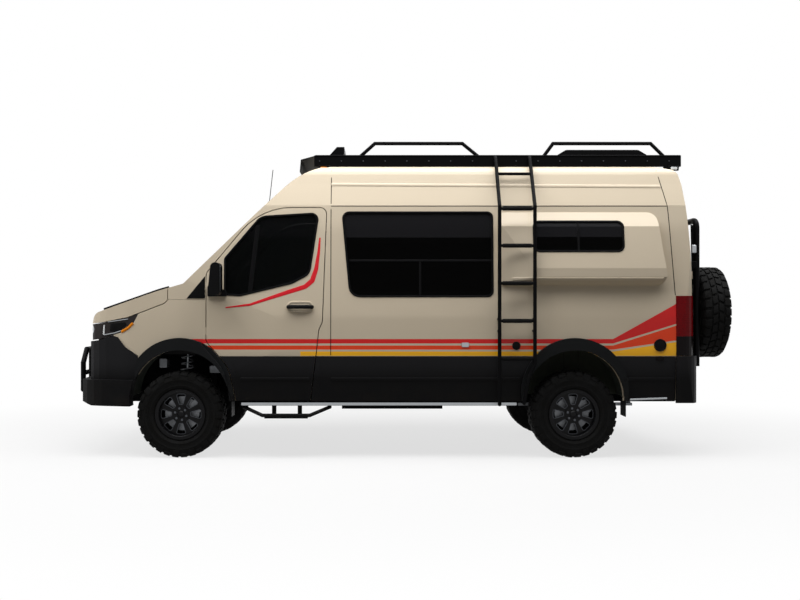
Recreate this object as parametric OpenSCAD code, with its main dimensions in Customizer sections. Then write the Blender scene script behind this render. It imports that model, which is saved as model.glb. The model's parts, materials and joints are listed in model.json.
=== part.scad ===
// High-roof four-wheel-drive camper van, front towards -X, left side towards -Y, standing on Z = 0

/* [Chassis] */
// Distance between the axles
wheelbase = 3665; // [3500:5:3900]
// Front axle to the front of the bumper
front_overhang = 1050; // [1030:5:1150]
// Rear axle to the outer face of the rear doors
rear_overhang = 1125; // [1080:5:1300]
// Distance between the middles of the tyres on one axle
track = 1730; // [1700:5:1760]
// Height of the frame rails
rail_h = 90; // [70:5:110]
// Width of a frame rail
rail_w = 70; // [50:5:90]
// Middle of a frame rail from the centre line
rail_y = 385; // [360:5:400]

/* [Wheels] */
// Road tyre diameter over the lugs
tyre_d = 803; // [780:1:830]
// Tyre width
tyre_w = 265; // [245:1:285]
// Rim diameter at the bead
rim_d = 436; // [420:1:450]
// Spindle diameter
spindle_d = 64; // [56:1:72]
// Spare tyre diameter
spare_d = 880; // [800:1:880]
// Spare tyre width
spare_w = 270; // [250:1:290]
// Rear doors to the spare tyre
carrier_gap = 120; // [110:1:150]
// Tubes of the spare carrier
carrier_tube_d = 58; // [48:1:64]

/* [Body] */
// Width over the body sides
body_w = 2020; // [1980:5:2060]
// Height of the roof at its edge
roof_z = 2750; // [2700:5:2800]
// Rise of the roof at its middle
roof_crown = 25; // [10:1:40]
// Underside of the body
sill_z = 531; // [515:1:545]
// Thickness of the body walls and doors
wall = 60; // [50:1:70]
// Gap round the doors and the hood
door_gap = 8; // [7:0.5:10]
// Thickness of the window glass
glass_t = 8; // [5:0.5:10]
// Thickness of the floor
floor_t = 40; // [30:1:50]
// Radius that the front of the body follows, seen from above
bow_r = 9000; // [8000:50:12000]
// Radius of the wheel arch openings
arch_r = 462; // [455:1:480]
// Height of the wheel arch centres
arch_z = 540; // [535:1:560]
// How far the lower cladding stands out
cladding_t = 12; // [8:1:18]
// How far the wheel arch flares stand out
flare_t = 50; // [40:1:60]
// How far the side pods stand out at their lower edge
pod_out = 70; // [50:1:85]

/* [Doors] */
// Hinge line of the rear doors from the body's side
rear_hinge_in = 110; // [105:1:115]
// Lower edge of the rear doors
rear_door_z = 700; // [680:1:720]

/* [Roof rack and ladder] */
// Top of the rack rails
rack_z = 2845; // [2830:1:2870]
// Height of the rack hoops
hoop_z = 2978; // [2950:1:3010]
// Tube diameter of the hoops and the ladder
tube_d = 34; // [28:1:40]
// Rack rails from the body's side
rack_in = 270; // [250:1:290]

/* [Hidden] */
$fn = 48;

// Places along the van
rear_reach = rear_overhang + carrier_gap + spare_w;
front_x = (front_overhang - wheelbase - rear_reach) / 2;
rear_x = front_x + wheelbase;
rear_face_x = rear_x + rear_overhang;
axle_z = tyre_d / 2;
half_w = body_w / 2;
rear_hinge_y = half_w - rear_hinge_in;
nose_a = -905;
bow_x = front_x + nose_a + bow_r;
seam_z = roof_z - 405;
belt_z = 946;
lamp_y = 470;
pod_wall = 25;
bumper_out = 85;
bumper_skin = 14;
bumper_step_z = 722;
bull_d = 50;
bull_x = front_x - front_overhang + bull_d / 2;
bull_y = 560;
bull_post_y = 300;
bull_points = [[-bull_y, 600], [-bull_y, 860], [-bull_y + 110, 985], [bull_y - 110, 985], [bull_y,
    860], [bull_y, 600]];
grille_slots = 5;
grille_pitch = 50;
step_out = 35;
hitch_w = 76;
hitch_bore = 51;
hitch_pin_d = 16;
hitch_z = 470;
flare_rise = 80;
flare_side = 33;
flare_lip = 12;
flap_h = 150;
flap_t = 8;
cross_w = 60;
house_r = arch_r + 25;
house_t = 8;
house_y = track / 2 - tyre_w / 2 - 132.5;
front_house_y = house_y - 100;
run_gap = 0.3;
king_y = track / 2 - 65;
king_d = 36;
arm_z = 105;
brake_d = 320;
spring_y = 520;
tank_y = 630;
tank_z = 440;
spokes = 8;
hub_d = 150;
rail_t = 40;
rack_y = half_w - rack_in;
rail_hgt = 105;
rack_feet = 5;
seat_y = 420;
door_axis_x = front_x + 248 - door_gap / 2;
door_axis_y = half_w - 22 + 22 * 248 / 900 - 4;
hood_axis_x = front_x - 120 + door_gap / 2;
hood_axis_z = 1590;
rear_axis_x = rear_face_x - 4;
rear_axis_y = rear_hinge_y + door_gap / 2;
spare_y = rear_hinge_y - spare_d / 2 - 11;
spare_z = 1350;
spare_x = rear_face_x + carrier_gap + spare_w / 2;
rim_face = 60;
rim_back = 10;
hub_y = track / 2 + rim_back + rim_face / 2 - run_gap;
floor_z = sill_z + 29;
sill_low = 485;
sill_x0 = front_x + arch_r + 95;
sill_x1 = rear_x - arch_r - 60;
b_pillar_a = 1403;
far = 1500;

// Paint and trim colours
paint = "#c7b8a0";
black = "#1b1b1d";
dark = "#2b2b2e";
steel = "#8a8d90";
tint = "#15181a";

// Helpers for outlines: points run anticlockwise
function unit(v) = v / norm(v);
function turn(v, angle) = [v.x * cos(angle) - v.y * sin(angle), v.x * sin(angle) + v.y * cos(angle)];
function before(p, i) = p[(i + len(p) - 1) % len(p)];
function after(p, i) = p[(i + 1) % len(p)];
function shift(p, x) = [for (q = p) q + [x, 0]];
function from_front(p) = shift(p, front_x);
function from_rear(p) = shift(p, rear_x);
function mirrored(p) = concat(p, [for (i = [len(p) - 1:-1:0]) if (p[i].x > 0) [-p[i].x, p[i].y]]);

// An outline moved inwards by d, or outwards where d is negative
function inset(p, d) = [
    for (i = [0:len(p) - 1])
        let (u = unit(p[i] - before(p, i)), v = unit(after(p, i) - p[i]), n = [-u.y, u.x], m = [-v.y, v.x])
            p[i] + d * (n + m) / (1 + n * m)];

// The arc that rounds one corner
corner_steps = 6;
function corner_arc(a, b, c, r) =
    let (u = unit(a - b), v = unit(c - b), half = acos(u * v) / 2, hub = b + unit(u + v) * r / sin(half),
         start = b + u * r / tan(half) - hub, sweep = (180 - 2 * half) * sign(cross(v, u)))
        [for (k = [0:corner_steps]) hub + turn(start, sweep * k / corner_steps)];

// An outline of [x, y, corner radius] rows with its corners rounded
function rounded(rows) = [
    for (i = [0:len(rows) - 1])
        let (b = [rows[i].x, rows[i].y], a = before(rows, i), c = after(rows, i))
            each rows[i].z == 0 ? [b] : corner_arc([a.x, a.y], b, [c.x, c.y], rows[i].z)];

function box_outline(x0, z0, x1, z1, r) = rounded([[x0, z0, r], [x1, z0, r], [x1, z1, r], [x0, z1, r]]);

// Solids from outlines: across the van, along it, and upwards
module across(points, y0, y1) translate([0, y1, 0]) rotate([90, 0,
    0]) linear_extrude(y1 - y0) polygon(points);
module along(points, x0, x1) translate([x0, 0, 0]) rotate([90, 0,
    90]) linear_extrude(x1 - x0) polygon(points);
module upward(points, z0, z1) translate([0, 0, z0]) linear_extrude(z1 - z0) polygon(points);
module on_left(points) across(points, -far, -half_w + 150);
module box(x0, y0, z0, x1, y1, z1) translate([x0, y0, z0]) cube([x1 - x0, y1 - y0, z1 - z0]);
module rod_y(x, z, d, y0, y1) translate([x, y0, z]) rotate([-90, 0, 0]) cylinder(d = d, h = y1 - y0);
module rod_x(y, z, d, x0, x1) translate([x0, y, z]) rotate([0, 90, 0]) cylinder(d = d, h = x1 - x0);
module rod_z(x, y, d, z0, z1) translate([x, y, z0]) cylinder(d = d, h = z1 - z0);
module sided(right) mirror([0, right ? 1 : 0, 0]) children();
module both_sides() for (right = [false, true]) sided(right) children();

// A straight round bar between two points, with balls a little thicker than the bar at its bends
ball = 1.03;
module bar(a, b, d) {
    v = b - a;
    translate(a) rotate([0, acos(v.z / norm(v)), atan2(v.y, v.x)]) cylinder(d = d, h = norm(v));
    translate(b) sphere(d = ball * d);
}
module bent_bar(points, d) {
    translate(points[0]) sphere(d = ball * d);
    for (i = [1:len(points) - 1]) bar(points[i - 1], points[i], d);
}

// Body form: a revolved front, a cross-section, a plan and a rear profile, each moved inwards by d
function bow_rows(low) = [
    [-905, low, 0], [-905, 1240, 0], [-880, 1340, 90], [-276, 1550, 900], [-30, 1620, 0],
    [640, 2275, 0], [1090, roof_z - 50, 800], [1420, roof_z + 5, 0], [1700, roof_z + 100, 0]];
function bow_profile(d, low) =
    let (axis_a = nose_a + bow_r, outer = [for (q = rounded(bow_rows(low))) [axis_a - q.x, q.y]],
         loop = concat([[0, low]], outer, [[0, roof_z + 100]]))
        [for (q = inset(loop, d)) [q.x < bow_r / 10 ? 0 : q.x, q.y]];

function section(d, low) = inset(mirrored(rounded([
    [half_w - 35, low, 0], [half_w - 12, 760, 0], [half_w, 1000, 0], [half_w, 1310, 900], [half_w - 50,
        2150, 1500],
    [half_w - 75, roof_z - 398, 0], [half_w - 140, roof_z - 188, 0], [half_w - 190, roof_z - 15, 120],
    [0, roof_z + roof_crown, 0]])), d);

function plan(d) = inset(rounded([
    [front_x - 960, -half_w + 195, 330], [front_x - 500, -half_w + 80, 600], [front_x, -half_w + 22, 900],
    [front_x + 900, -half_w, 0], [rear_face_x, -half_w, 130], [rear_face_x, half_w, 130],
    [front_x + 900, half_w, 0], [front_x, half_w - 22, 900], [front_x - 500, half_w - 80, 600],
    [front_x - 960, half_w - 195, 330]]), d);

function rear_profile(d) = inset(rounded([
    [front_x - far, 0, 0], [rear_face_x, 0, 0], [rear_face_x, 945, 0], [rear_face_x - 27, 1749, 0],
    [rear_face_x - 66, 2254, 0], [rear_face_x - 95, roof_z - 200, 0], [rear_face_x - 130, roof_z - 55, 90],
    [rear_face_x - 490, roof_z + 10, 0], [rear_face_x - 700, roof_z + 100, 0], [front_x - far,
        roof_z + 100, 0]]), d);

module body_mass(d, low) intersection() {
    translate([bow_x, 0, 0]) rotate_extrude($fn = 720) polygon(bow_profile(d, low));
    along(section(d, low), front_x - far, rear_face_x + far);
    upward(plan(d), 0, roof_z + 200);
    across(rear_profile(d), -far, far);
}

// The body's wall, open below, and thin layers on or in it
module layer(out, in) difference() {
    body_mass(out, sill_z);
    body_mass(in, sill_z - 4 * wall);
}
module shell() layer(0, wall);
module glass_layer() layer(glass_t, 2 * glass_t);

// Outlines of the panels, seen from the left
function reversed(p) = [for (i = [len(p) - 1:-1:0]) p[i]];
hood_edge = [[-740, 1262], [-500, 1308], [-150, 1440], [-120, 1470]];
lamp_rear = [[-640, 1140], [-560, 1165], [-500, 1195], [-450, 1240], [-396, 1339]];
bumper_rear = [[-640, 1132], [-597, 1120], [-522, 1027], [-400, 947]];
hood_outline = from_front(concat([[-1000, 1230]], hood_edge, [[-120, 1800], [-1000, 1800]]));
lamp_outline = from_front(concat(
    [[-1000, 1075], [-790, 1098]], lamp_rear, [[-500, 1300], [-740, 1254], [-1000, 1222]]));
bumper_outline = from_front(concat(
    [[-1100, 560], [-850, 480], [-440, 480], [-425, 700]], reversed(bumper_rear), [[-790, 1090],
        [-1100, 1048]]));
fender_outline = from_front(concat(
    bumper_rear, [[-400, 0], [600, 0], [600, 1000], [300, 1470], [-112, 1470], [-396, 1345]],
        reversed(lamp_rear)));
door_outline = from_front(rounded([
    [248, 1083, 60], [455, 850, 300], [525, sill_z, 0], [1212, sill_z, 0], [1268, 1000, 0], [1288,
        1190, 100],
    [1322, 1265, 100], [1360, seam_z - 17, 60], [752, seam_z - 17, 600], [248, 1715, 60]]));
door_window = from_front(rounded([
    [425, 1526, 30], [560, 1516, 100], [1040, 1632, 200], [1196, 1716, 90], [1280, 2270, 50], [752,
        2238, 120],
    [425, 1850, 30]]));
panel_joint_x = rear_x - 755;
side_window = rounded([
    [front_x + 1590, 1509, 90], [panel_joint_x - 10, 1509, 40], [panel_joint_x - 10, 2279, 40],
    [front_x + 1518, 2279, 50]]);
function sliding_outline(gap) = rounded([
    [front_x + b_pillar_a + door_gap - gap, sill_z + 40, 0], [panel_joint_x - 5 + gap, sill_z + 40, 0],
    [panel_joint_x + 40 + gap, seam_z - 17 + gap, 50],
    [front_x + b_pillar_a + door_gap - gap, seam_z - 17 + gap, 50]]);
sliding_window = rounded([
    [front_x + 1590, 1509, 90], [panel_joint_x - 90, 1509, 60], [panel_joint_x - 90, 2279, 60],
    [front_x + 1518, 2279, 50]]);
pod_a = -690;
pod_outline = from_rear(rounded([[pod_a, 1600, 40], [850, 1600, 90], [762, 2285, 90], [pod_a, 2285, 40]]));
pod_window = from_rear(box_outline(-377, 1924, 438, 2190, 45));
rear_seam = from_rear([[935, 0], [935, 1500], [880, seam_z]]);
side_zone = concat([[front_x + b_pillar_a, seam_z], [front_x + b_pillar_a, 0]], rear_seam);
cab_zone = from_front([
    [-112, 1472], [700, 1472], [700, 0], [b_pillar_a, 0], [b_pillar_a, seam_z], [-112, seam_z]]);
rear_zone = [rear_seam[0], [rear_face_x + 200, 0], [rear_face_x + 200, seam_z], rear_seam[2], rear_seam[1]];

// Outlines seen from the front or the rear, for the +Y side
screen_low_y = half_w - 150;
screen_top_y = half_w - 245;
screen_outline = rounded([
    [-screen_low_y, 1640, 70], [screen_low_y, 1640, 70], [screen_top_y, 2262, 70], [-screen_top_y,
        2262, 70]]);
rear_door_outline = rounded([
    [door_gap / 2, rear_door_z, 0], [rear_hinge_y, rear_door_z, 40], [rear_hinge_y, 2150, 200],
    [rear_hinge_y - 30, seam_z - 45, 60], [door_gap / 2, seam_z - 45, 0]]);
rear_window = rounded([
    [110, 1480, 70], [rear_hinge_y - 110, 1480, 70], [rear_hinge_y - 130, 2190, 90], [110, 2190, 70]]);

module arch_cut(x) rod_y(x, arch_z, 2 * arch_r, -far, -half_w + 3 * wall);

// Fixed body panels
module fenders() color(paint) both_sides() difference() {
    intersection() {
        shell();
        across(fender_outline, -far, -lamp_y);
    }
    across(inset(hood_outline, -door_gap), -far, 0);
    on_left(inset(door_outline, -door_gap));
    arch_cut(front_x);
}

module cab_frame() color(paint) difference() {
    intersection() {
        shell();
        across(cab_zone, -far, far);
    }
    both_sides() on_left(inset(door_outline, -door_gap));
    along(screen_outline, front_x - far, front_x + 900);
}

module windscreen() color(tint) intersection() {
    glass_layer();
    along(screen_outline, front_x - far, front_x + 900);
}

module roof() color(paint) intersection() {
    shell();
    box(front_x - far, -far, seam_z, rear_face_x + far, far, roof_z + far);
}

module side_panel() difference() {
    intersection() {
        shell();
        on_left(side_zone);
    }
    arch_cut(rear_x);
    on_left(inset(pod_outline, pod_wall));
}
module side_left() color(paint) difference() {
    side_panel();
    on_left(side_window);
}
module side_right() color(paint) sided(true) difference() {
    side_panel();
    on_left(sliding_outline(door_gap));
}
module sliding_door() color(paint) sided(true) difference() {
    intersection() {
        shell();
        on_left(sliding_outline(0));
    }
    on_left(sliding_window);
}

module rear_frame() color(paint) difference() {
    intersection() {
        shell();
        across(rear_zone, -far, far);
    }
    both_sides() {
        along(inset(rear_door_outline, -door_gap), rear_x, rear_face_x + far);
        lamp_block();
    }
}

module window_glass() color(tint) {
    intersection() {
        glass_layer();
        union() {
            on_left(side_window);
            sided(true) on_left(sliding_window);
        }
    }
}

// The flared pods over the rear wheels, hollow towards the inside, with a sliding window each
function pod_section(d) = inset([
    [-half_w + 2 * wall, 1600], [-half_w + 2 * wall, 2285], [-half_w + 62, 2285],
        [-half_w - pod_out + 60, 2150],
    [-half_w - pod_out, 1760], [-half_w - pod_out, 1680], [-half_w - pod_out + 25, 1640],
        [-half_w + 10, 1600]], d);
function pod_plan(d) = inset(from_rear([
    [pod_a, -half_w + 2 * wall], [pod_a, -half_w - 6], [-390, -half_w - pod_out], [900, -half_w - pod_out],
    [900, -half_w + 2 * wall]]), d);
module pod_mass(d) intersection() {
    across(inset(pod_outline, d), -far, -half_w + 2 * wall);
    along(pod_section(d), rear_x - far, rear_face_x);
    upward(pod_plan(d), sill_z, roof_z);
}
module side_pods() color(paint) both_sides() difference() {
    pod_mass(0);
    body_mass(0, sill_z);
    pod_mass(pod_wall);
    on_left(pod_window);
}
module pod_glass() color(tint) both_sides() intersection() {
    on_left(pod_window);
    difference() {
        pod_mass(glass_t);
        pod_mass(2 * glass_t);
    }
    across(pod_outline, -far, -half_w + 20);
}

// Black outer skins
module cladding() color(black) difference() {
    intersection() {
        layer(-cladding_t, 0);
        box(front_x + arch_r, -far, sill_z - cladding_t, rear_x + 935, far, belt_z);
    }
    both_sides() {
        on_left(inset(door_outline, -door_gap));
        flare_disc(front_x);
        flare_disc(rear_x);
    }
}
module flare_disc(x) rod_y(x, arch_z + flare_rise, 2 * (arch_r + flare_side), -far, -half_w + 3 * wall);
module wheel_flares() color(dark) both_sides() {
    difference() {
        intersection() {
            layer(-flare_t, 0);
            union() {
                flare_disc(front_x);
                flare_disc(rear_x);
            }
            box(front_x - far, -far, sill_z, rear_face_x, 0, far);
        }
        arch_cut(front_x);
        arch_cut(rear_x);
        on_left(inset(door_outline, -door_gap));
        across(bumper_outline, -far, far);
        intersection() {
            on_left(inset(door_outline, -flare_t));
            layer(-2 * flare_t, -flare_lip);
        }
    }
    for (x = [front_x, rear_x])
        box(x + arch_r + 12, -half_w + 30, sill_z - flap_h, x + arch_r + 12 + flap_t, -half_w + 210,
            sill_z);
}

module front_bumper() color(black) difference() {
    intersection() {
        layer(-bumper_out, wall);
        across(bumper_outline, -far, far);
    }
    grille_block(0);
    box(front_x - far, -420, 600, front_x - 700, 420, bumper_step_z - 20);
    both_sides() arch_cut(front_x);
    intersection() {
        layer(-2 * bumper_out, -bumper_skin);
        box(front_x - far, -far, bumper_step_z, front_x, far, far);
    }
}
module grille_block(d) box(front_x - far, -lamp_y + d, 930 + d, front_x - 600, lamp_y - d, 1228 - d);
module grille() color(black) difference() {
    intersection() {
        layer(-10, wall - 20);
        grille_block(0);
    }
    for (k = [0:grille_slots - 1])
        box(front_x - far, -lamp_y + 30, 955 + k * grille_pitch, front_x - 600, lamp_y - 30,
            985 + k * grille_pitch);
}
function bumper_face(out) = bow_x - sqrt(pow(bow_r + out, 2) - pow(bull_post_y - bull_d / 2, 2)) - run_gap;
module bull_bar() color(black) {
    bent_bar([for (q = bull_points) [bull_x, q.x, q.y]], bull_d);
    rod_y(bull_x, 760, bull_d - 4, -bull_y, bull_y);
    for (y = [-bull_post_y, bull_post_y]) {
        rod_z(bull_x, y, bull_d - 2, 620, 985);
        rod_x(y, 680, bull_d - 6, bull_x, bumper_face(bumper_out));
        rod_x(y, 880, bull_d - 6, bull_x, bumper_face(bumper_skin));
    }
}
module headlamps() color("#dfe6ea") both_sides() intersection() {
    layer(2, wall);
    across(lamp_outline, -far, -lamp_y);
}
module lamp_block() box(rear_x + 940, -far, belt_z + 4, rear_face_x + 100,
    -rear_hinge_y - door_gap - 4, 1506);
module tail_lamps() color("#8d1015") both_sides() intersection() {
    layer(-6, wall);
    lamp_block();
}
module rear_bumper() color(black) difference() {
    intersection() {
        layer(-step_out, 0);
        box(rear_x + 940, -far, sill_z - 20, rear_face_x + 100, far, belt_z);
    }
    box(rear_x, -rear_hinge_y - door_gap, rear_door_z - door_gap, rear_face_x + far,
        rear_hinge_y + door_gap, far);
}
module square_bar(x0, x1, w) box(x0, -w / 2, hitch_z - w / 2, x1, w / 2, hitch_z + w / 2);
module hitch() color(black) difference() {
    square_bar(rear_face_x - 150, rear_face_x + 55, hitch_w);
    square_bar(rear_face_x - 100, rear_face_x + 60, hitch_bore);
    rod_y(rear_face_x + 20, hitch_z, hitch_pin_d, -hitch_w, hitch_w);
}

// Chassis
rail_top = floor_z;
rail_z = rail_top - rail_h;
module chassis_frame() color(dark) {
    both_sides() box(front_x - 700, -rail_y - rail_w / 2, rail_z, rear_face_x - 150 - cross_w,
        -rail_y + rail_w / 2, rail_top);
    for (x = [front_x - 700, front_x - 250, front_x + 100, front_x + 1300, rear_x - 620, rear_x + 620])
        box(x, -rail_y + rail_w / 2, rail_z, x + cross_w, rail_y - rail_w / 2, rail_top);
    box(rear_face_x - 150 - cross_w, -rail_y - rail_w / 2, rail_z, rear_face_x - 150,
        rail_y + rail_w / 2, rail_top);
}
module floor() color(dark) difference() {
    intersection() {
        body_mass(wall, sill_z - 4 * wall);
        box(front_x + 520, -far, floor_z, rear_face_x + far, far, floor_z + floor_t);
    }
    both_sides() rod_y(rear_x, arch_z, 2 * house_r, -far, -house_y);
}
module sills() color(steel) both_sides() {
    box(sill_x0, -half_w + 28, sill_low, sill_x1, -half_w + 160, sill_z - cladding_t - 2);
    box(sill_x0, -half_w + 115, sill_low, sill_x1, -half_w + 160, floor_z - run_gap);
}
module wheel_houses() color("#5d625c") intersection() {
    body_mass(wall, sill_z - 4 * wall);
    both_sides() {
        difference() {
            rod_y(rear_x, arch_z, 2 * house_r, -far, -house_y);
            rod_y(rear_x, arch_z, 2 * (house_r - house_t), -far, -house_y - house_t);
        }
        difference() {
            rod_y(front_x, arch_z, 2 * house_r, -far, -front_house_y);
            rod_y(front_x, arch_z, 2 * (house_r - house_t), -far, 0);
        }
    }
    box(front_x - far, -far, floor_z, rear_face_x, far, far);
}
module engine() color("#3a3c3f") {
    box(front_x - 600, -270, rail_top, front_x + 200, 270, 980);
    box(front_x - 560, -180, 980, front_x + 160, 180, 1130);
    rod_x(0, 760, 420, front_x - 640, front_x - 600);
}
module driveline() color(steel) {
    box(front_x + 200, -190, 420, front_x + 480, 190, 760);
    box(front_x + 480, -170, 400, front_x + 1000, 170, floor_z);
    rod_x(0, 436, 60, front_x + 1000, rear_x - 200);
    both_sides() box(front_x + 1500, -tank_y - 200, tank_z, front_x + 2450, -tank_y + 200, floor_z);
}
module front_axle() color(steel) both_sides() {
    difference() {
        union() {
            for (z = [-arm_z, arm_z]) {
                box(front_x - 30, -king_y, axle_z + z - 15, front_x + 30, -rail_y - rail_w / 2,
                    axle_z + z + 15);
                rod_z(front_x, -king_y, 2 * king_d, axle_z + z - 15, axle_z + z + 15);
            }
            box(front_x - 60, -rail_y - rail_w / 2, axle_z - arm_z - 15, front_x + 60,
                -rail_y + rail_w / 2, rail_z);
        }
        rod_z(front_x, -king_y, king_d + 2 * run_gap, 0, far);
    }
}
module knuckle() color(steel) {
    arm_gap = arm_z - 15 - run_gap;
    rod_z(front_x, -king_y, king_d, axle_z - arm_z - 15, axle_z + arm_z + 15);
    box(front_x - 45, -king_y - 30, axle_z - arm_gap, front_x + 45, -king_y + 30, axle_z + arm_gap);
    rod_y(front_x, axle_z, spindle_d, -hub_y, -king_y);
    rod_y(front_x, axle_z, brake_d, -king_y - king_d - 34, -king_y - king_d - 4);
}
module knuckle_left() knuckle();
module knuckle_right() sided(true) knuckle();
module rear_axle() color(steel) {
    rod_y(rear_x, axle_z, 90, -king_y, king_y);
    translate([rear_x, 0, axle_z]) sphere(d = 300);
    rod_x(0, axle_z, 110, rear_x - 200, rear_x - 120);
    both_sides() {
        rod_y(rear_x, axle_z, spindle_d, -hub_y, -king_y);
        rod_y(rear_x, axle_z, brake_d, -king_y - 60, -king_y - 30);
        box(rear_x - 650, -spring_y - 35, axle_z + 40, rear_x + 650, -spring_y + 35, axle_z + 65);
        for (x = [rear_x - 650, rear_x + 620])
            box(x, -spring_y + 35, axle_z + 40, x + 30, -rail_y - rail_w / 2, rail_top - 10);
    }
}

// Wheels: the profiles run along [radius, distance from the middle plane]
function tyre_profile(d, w) = rounded([
    [rim_d / 2, -0.40 * w, 0], [rim_d / 2 + 16, -0.40 * w, 0], [rim_d / 2 + 45, -0.47 * w, 20],
    [(rim_d + d) / 4 + 7, -w / 2, 60], [d / 2 - 18, -0.47 * w, 30], [d / 2, -0.38 * w, 0],
    [d / 2, 0.38 * w, 0], [d / 2 - 18, 0.47 * w, 30], [(rim_d + d) / 4 + 7, w / 2, 60],
    [rim_d / 2 + 45, 0.47 * w, 20], [rim_d / 2 + 16, 0.40 * w, 0], [rim_d / 2, 0.40 * w, 0]]);
module tyre(d, w) color("#161616") rotate_extrude($fn = 96) polygon(tyre_profile(d, w));

function barrel_profile(w) =
    let (r = rim_d / 2 - run_gap, e = 0.40 * w + run_gap, lip = r + 14)
        [[r - 14, -e - 12], [lip, -e - 12], [lip, -e], [r, -e], [r, e], [lip, e], [lip, e + 12],
            [r - 14, e + 12]];
module rim(w) color("#26272a") {
    rotate_extrude($fn = 96) polygon(barrel_profile(w));
    difference() {
        union() {
            translate([0, 0, rim_back]) cylinder(d = hub_d, h = rim_face);
            translate([0, 0, rim_back + 4]) cylinder(d = rim_d - 24, h = rim_face - 14, $fn = 96);
        }
        translate([0, 0, -far]) cylinder(d = spindle_d + 2 * run_gap, h = far + rim_back + rim_face / 2);
        for (k = [0:spokes - 1]) rotate(360 / spokes * k)
            linear_extrude(far) polygon(rounded([
                [hub_d / 2 + 15, -16, 9], [rim_d / 2 - 34, -43, 14], [rim_d / 2 - 34, 43, 14],
                    [hub_d / 2 + 15, 16, 9]]));
    }
}
module wheel_place(x, right) sided(right) translate([x, -track / 2, axle_z]) rotate([90, 0, 0]) children();
module tyre_front_left() wheel_place(front_x, false) tyre(tyre_d, tyre_w);
module tyre_front_right() wheel_place(front_x, true) tyre(tyre_d, tyre_w);
module tyre_rear_left() wheel_place(rear_x, false) tyre(tyre_d, tyre_w);
module tyre_rear_right() wheel_place(rear_x, true) tyre(tyre_d, tyre_w);
module rim_front_left() wheel_place(front_x, false) rim(tyre_w);
module rim_front_right() wheel_place(front_x, true) rim(tyre_w);
module rim_rear_left() wheel_place(rear_x, false) rim(tyre_w);
module rim_rear_right() wheel_place(rear_x, true) rim(tyre_w);

// Roof rack, roof unit and ladder
rack_x0 = front_x + 1094;
rack_x1 = rear_x + 1062;
slat_z = rack_z - 20;
module hoop(x0, x1, top0, top1) bent_bar([
    [x0, -rack_y, rack_z], [top0, -rack_y, hoop_z - tube_d / 2], [top1, -rack_y, hoop_z - tube_d / 2],
        [x1, -rack_y, rack_z]],
    tube_d);
slats = 8;
slat_pitch = (rear_x - 326 - rack_x0 - 250) / (slats - 1);
slat_places = [for (k = [0:slats - 1]) rack_x0 + 250 + k * slat_pitch];
module roof_rack() color(black) {
    difference() {
        union() {
            both_sides() {
                box(rack_x0 + 140, -rack_y - rail_t / 2, rack_z - rail_hgt, rack_x1,
                    -rack_y + rail_t / 2, rack_z);
                for (k = [0:rack_feet - 1]) {
                    x = rack_x0 + 300 + k * (rack_x1 - rack_x0 - 460) / (rack_feet - 1);
                    box(x, -rack_y - rail_t / 2, roof_z - 60, x + 80, -rack_y + rail_t / 2,
                        rack_z - rail_hgt);
                }
            }
            for (x = slat_places) box(x, -rack_y + rail_t / 2, slat_z - 25, x + 90,
                rack_y - rail_t / 2, slat_z);
        }
        body_mass(0, sill_z);
    }
    across(from_front([[1094, 2690], [1102, 2690], [1112, 2800], [1240, 2837], [1240, 2845], [1104,
        2808]]), -rack_y, rack_y);
    across(from_front([[1334, slat_z], [1488, slat_z], [1516, 2890], [1516, 2948], [1444, 2948]]),
        -620, 620);
    both_sides() {
        hoop(front_x + 1681, front_x + 2788, front_x + 1811, front_x + 2646);
        hoop(rear_x - 239, rear_x + 895, rear_x - 154, rear_x + 777);
    }
}
module roof_unit() color("#202124") difference() {
    across(from_rear(rounded([[-60, roof_z - 60, 0], [860, roof_z - 60, 0], [860, 2900, 60], [760,
        2960, 60],
        [40, 2960, 60], [-60, 2900, 60]])), -370, 370);
    body_mass(0, sill_z);
}

ladder_x = [rear_x - 709, rear_x - 385];
ladder_y = half_w + 100;
rung_z = [930, 1275, 1620, 1965, 2305];
module ladder() color(black) {
    foot_y = -rack_y - rail_t / 2 - ball * tube_d / 2 - run_gap;
    bend_z = 2330;
    top_z = 2800;
    high_rung_z = 2650;
    slope = (foot_y - 30 + ladder_y) / (top_z - bend_z);
    for (k = [0, 1])
        bent_bar(concat(
            k == 0 ? [[ladder_x[k], -ladder_y, 510]] : [[ladder_x[k] - 100, -ladder_y, 520],
                [ladder_x[k] - 60, -ladder_y, 740]],
            [[ladder_x[k], -ladder_y, 880], [ladder_x[k], -ladder_y, bend_z], [ladder_x[k],
                foot_y - 30, top_z],
             [ladder_x[k], foot_y, rack_z - 20]]), tube_d);
    for (z = rung_z) rod_x(-ladder_y, z, tube_d - 6, ladder_x[0], ladder_x[1]);
    rod_x(-ladder_y + slope * (high_rung_z - bend_z), high_rung_z, tube_d - 6, ladder_x[0], ladder_x[1]);
    for (x = ladder_x, z = [1180, 1290]) rod_y(x, z, 24, -ladder_y, -half_w);
}

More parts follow.
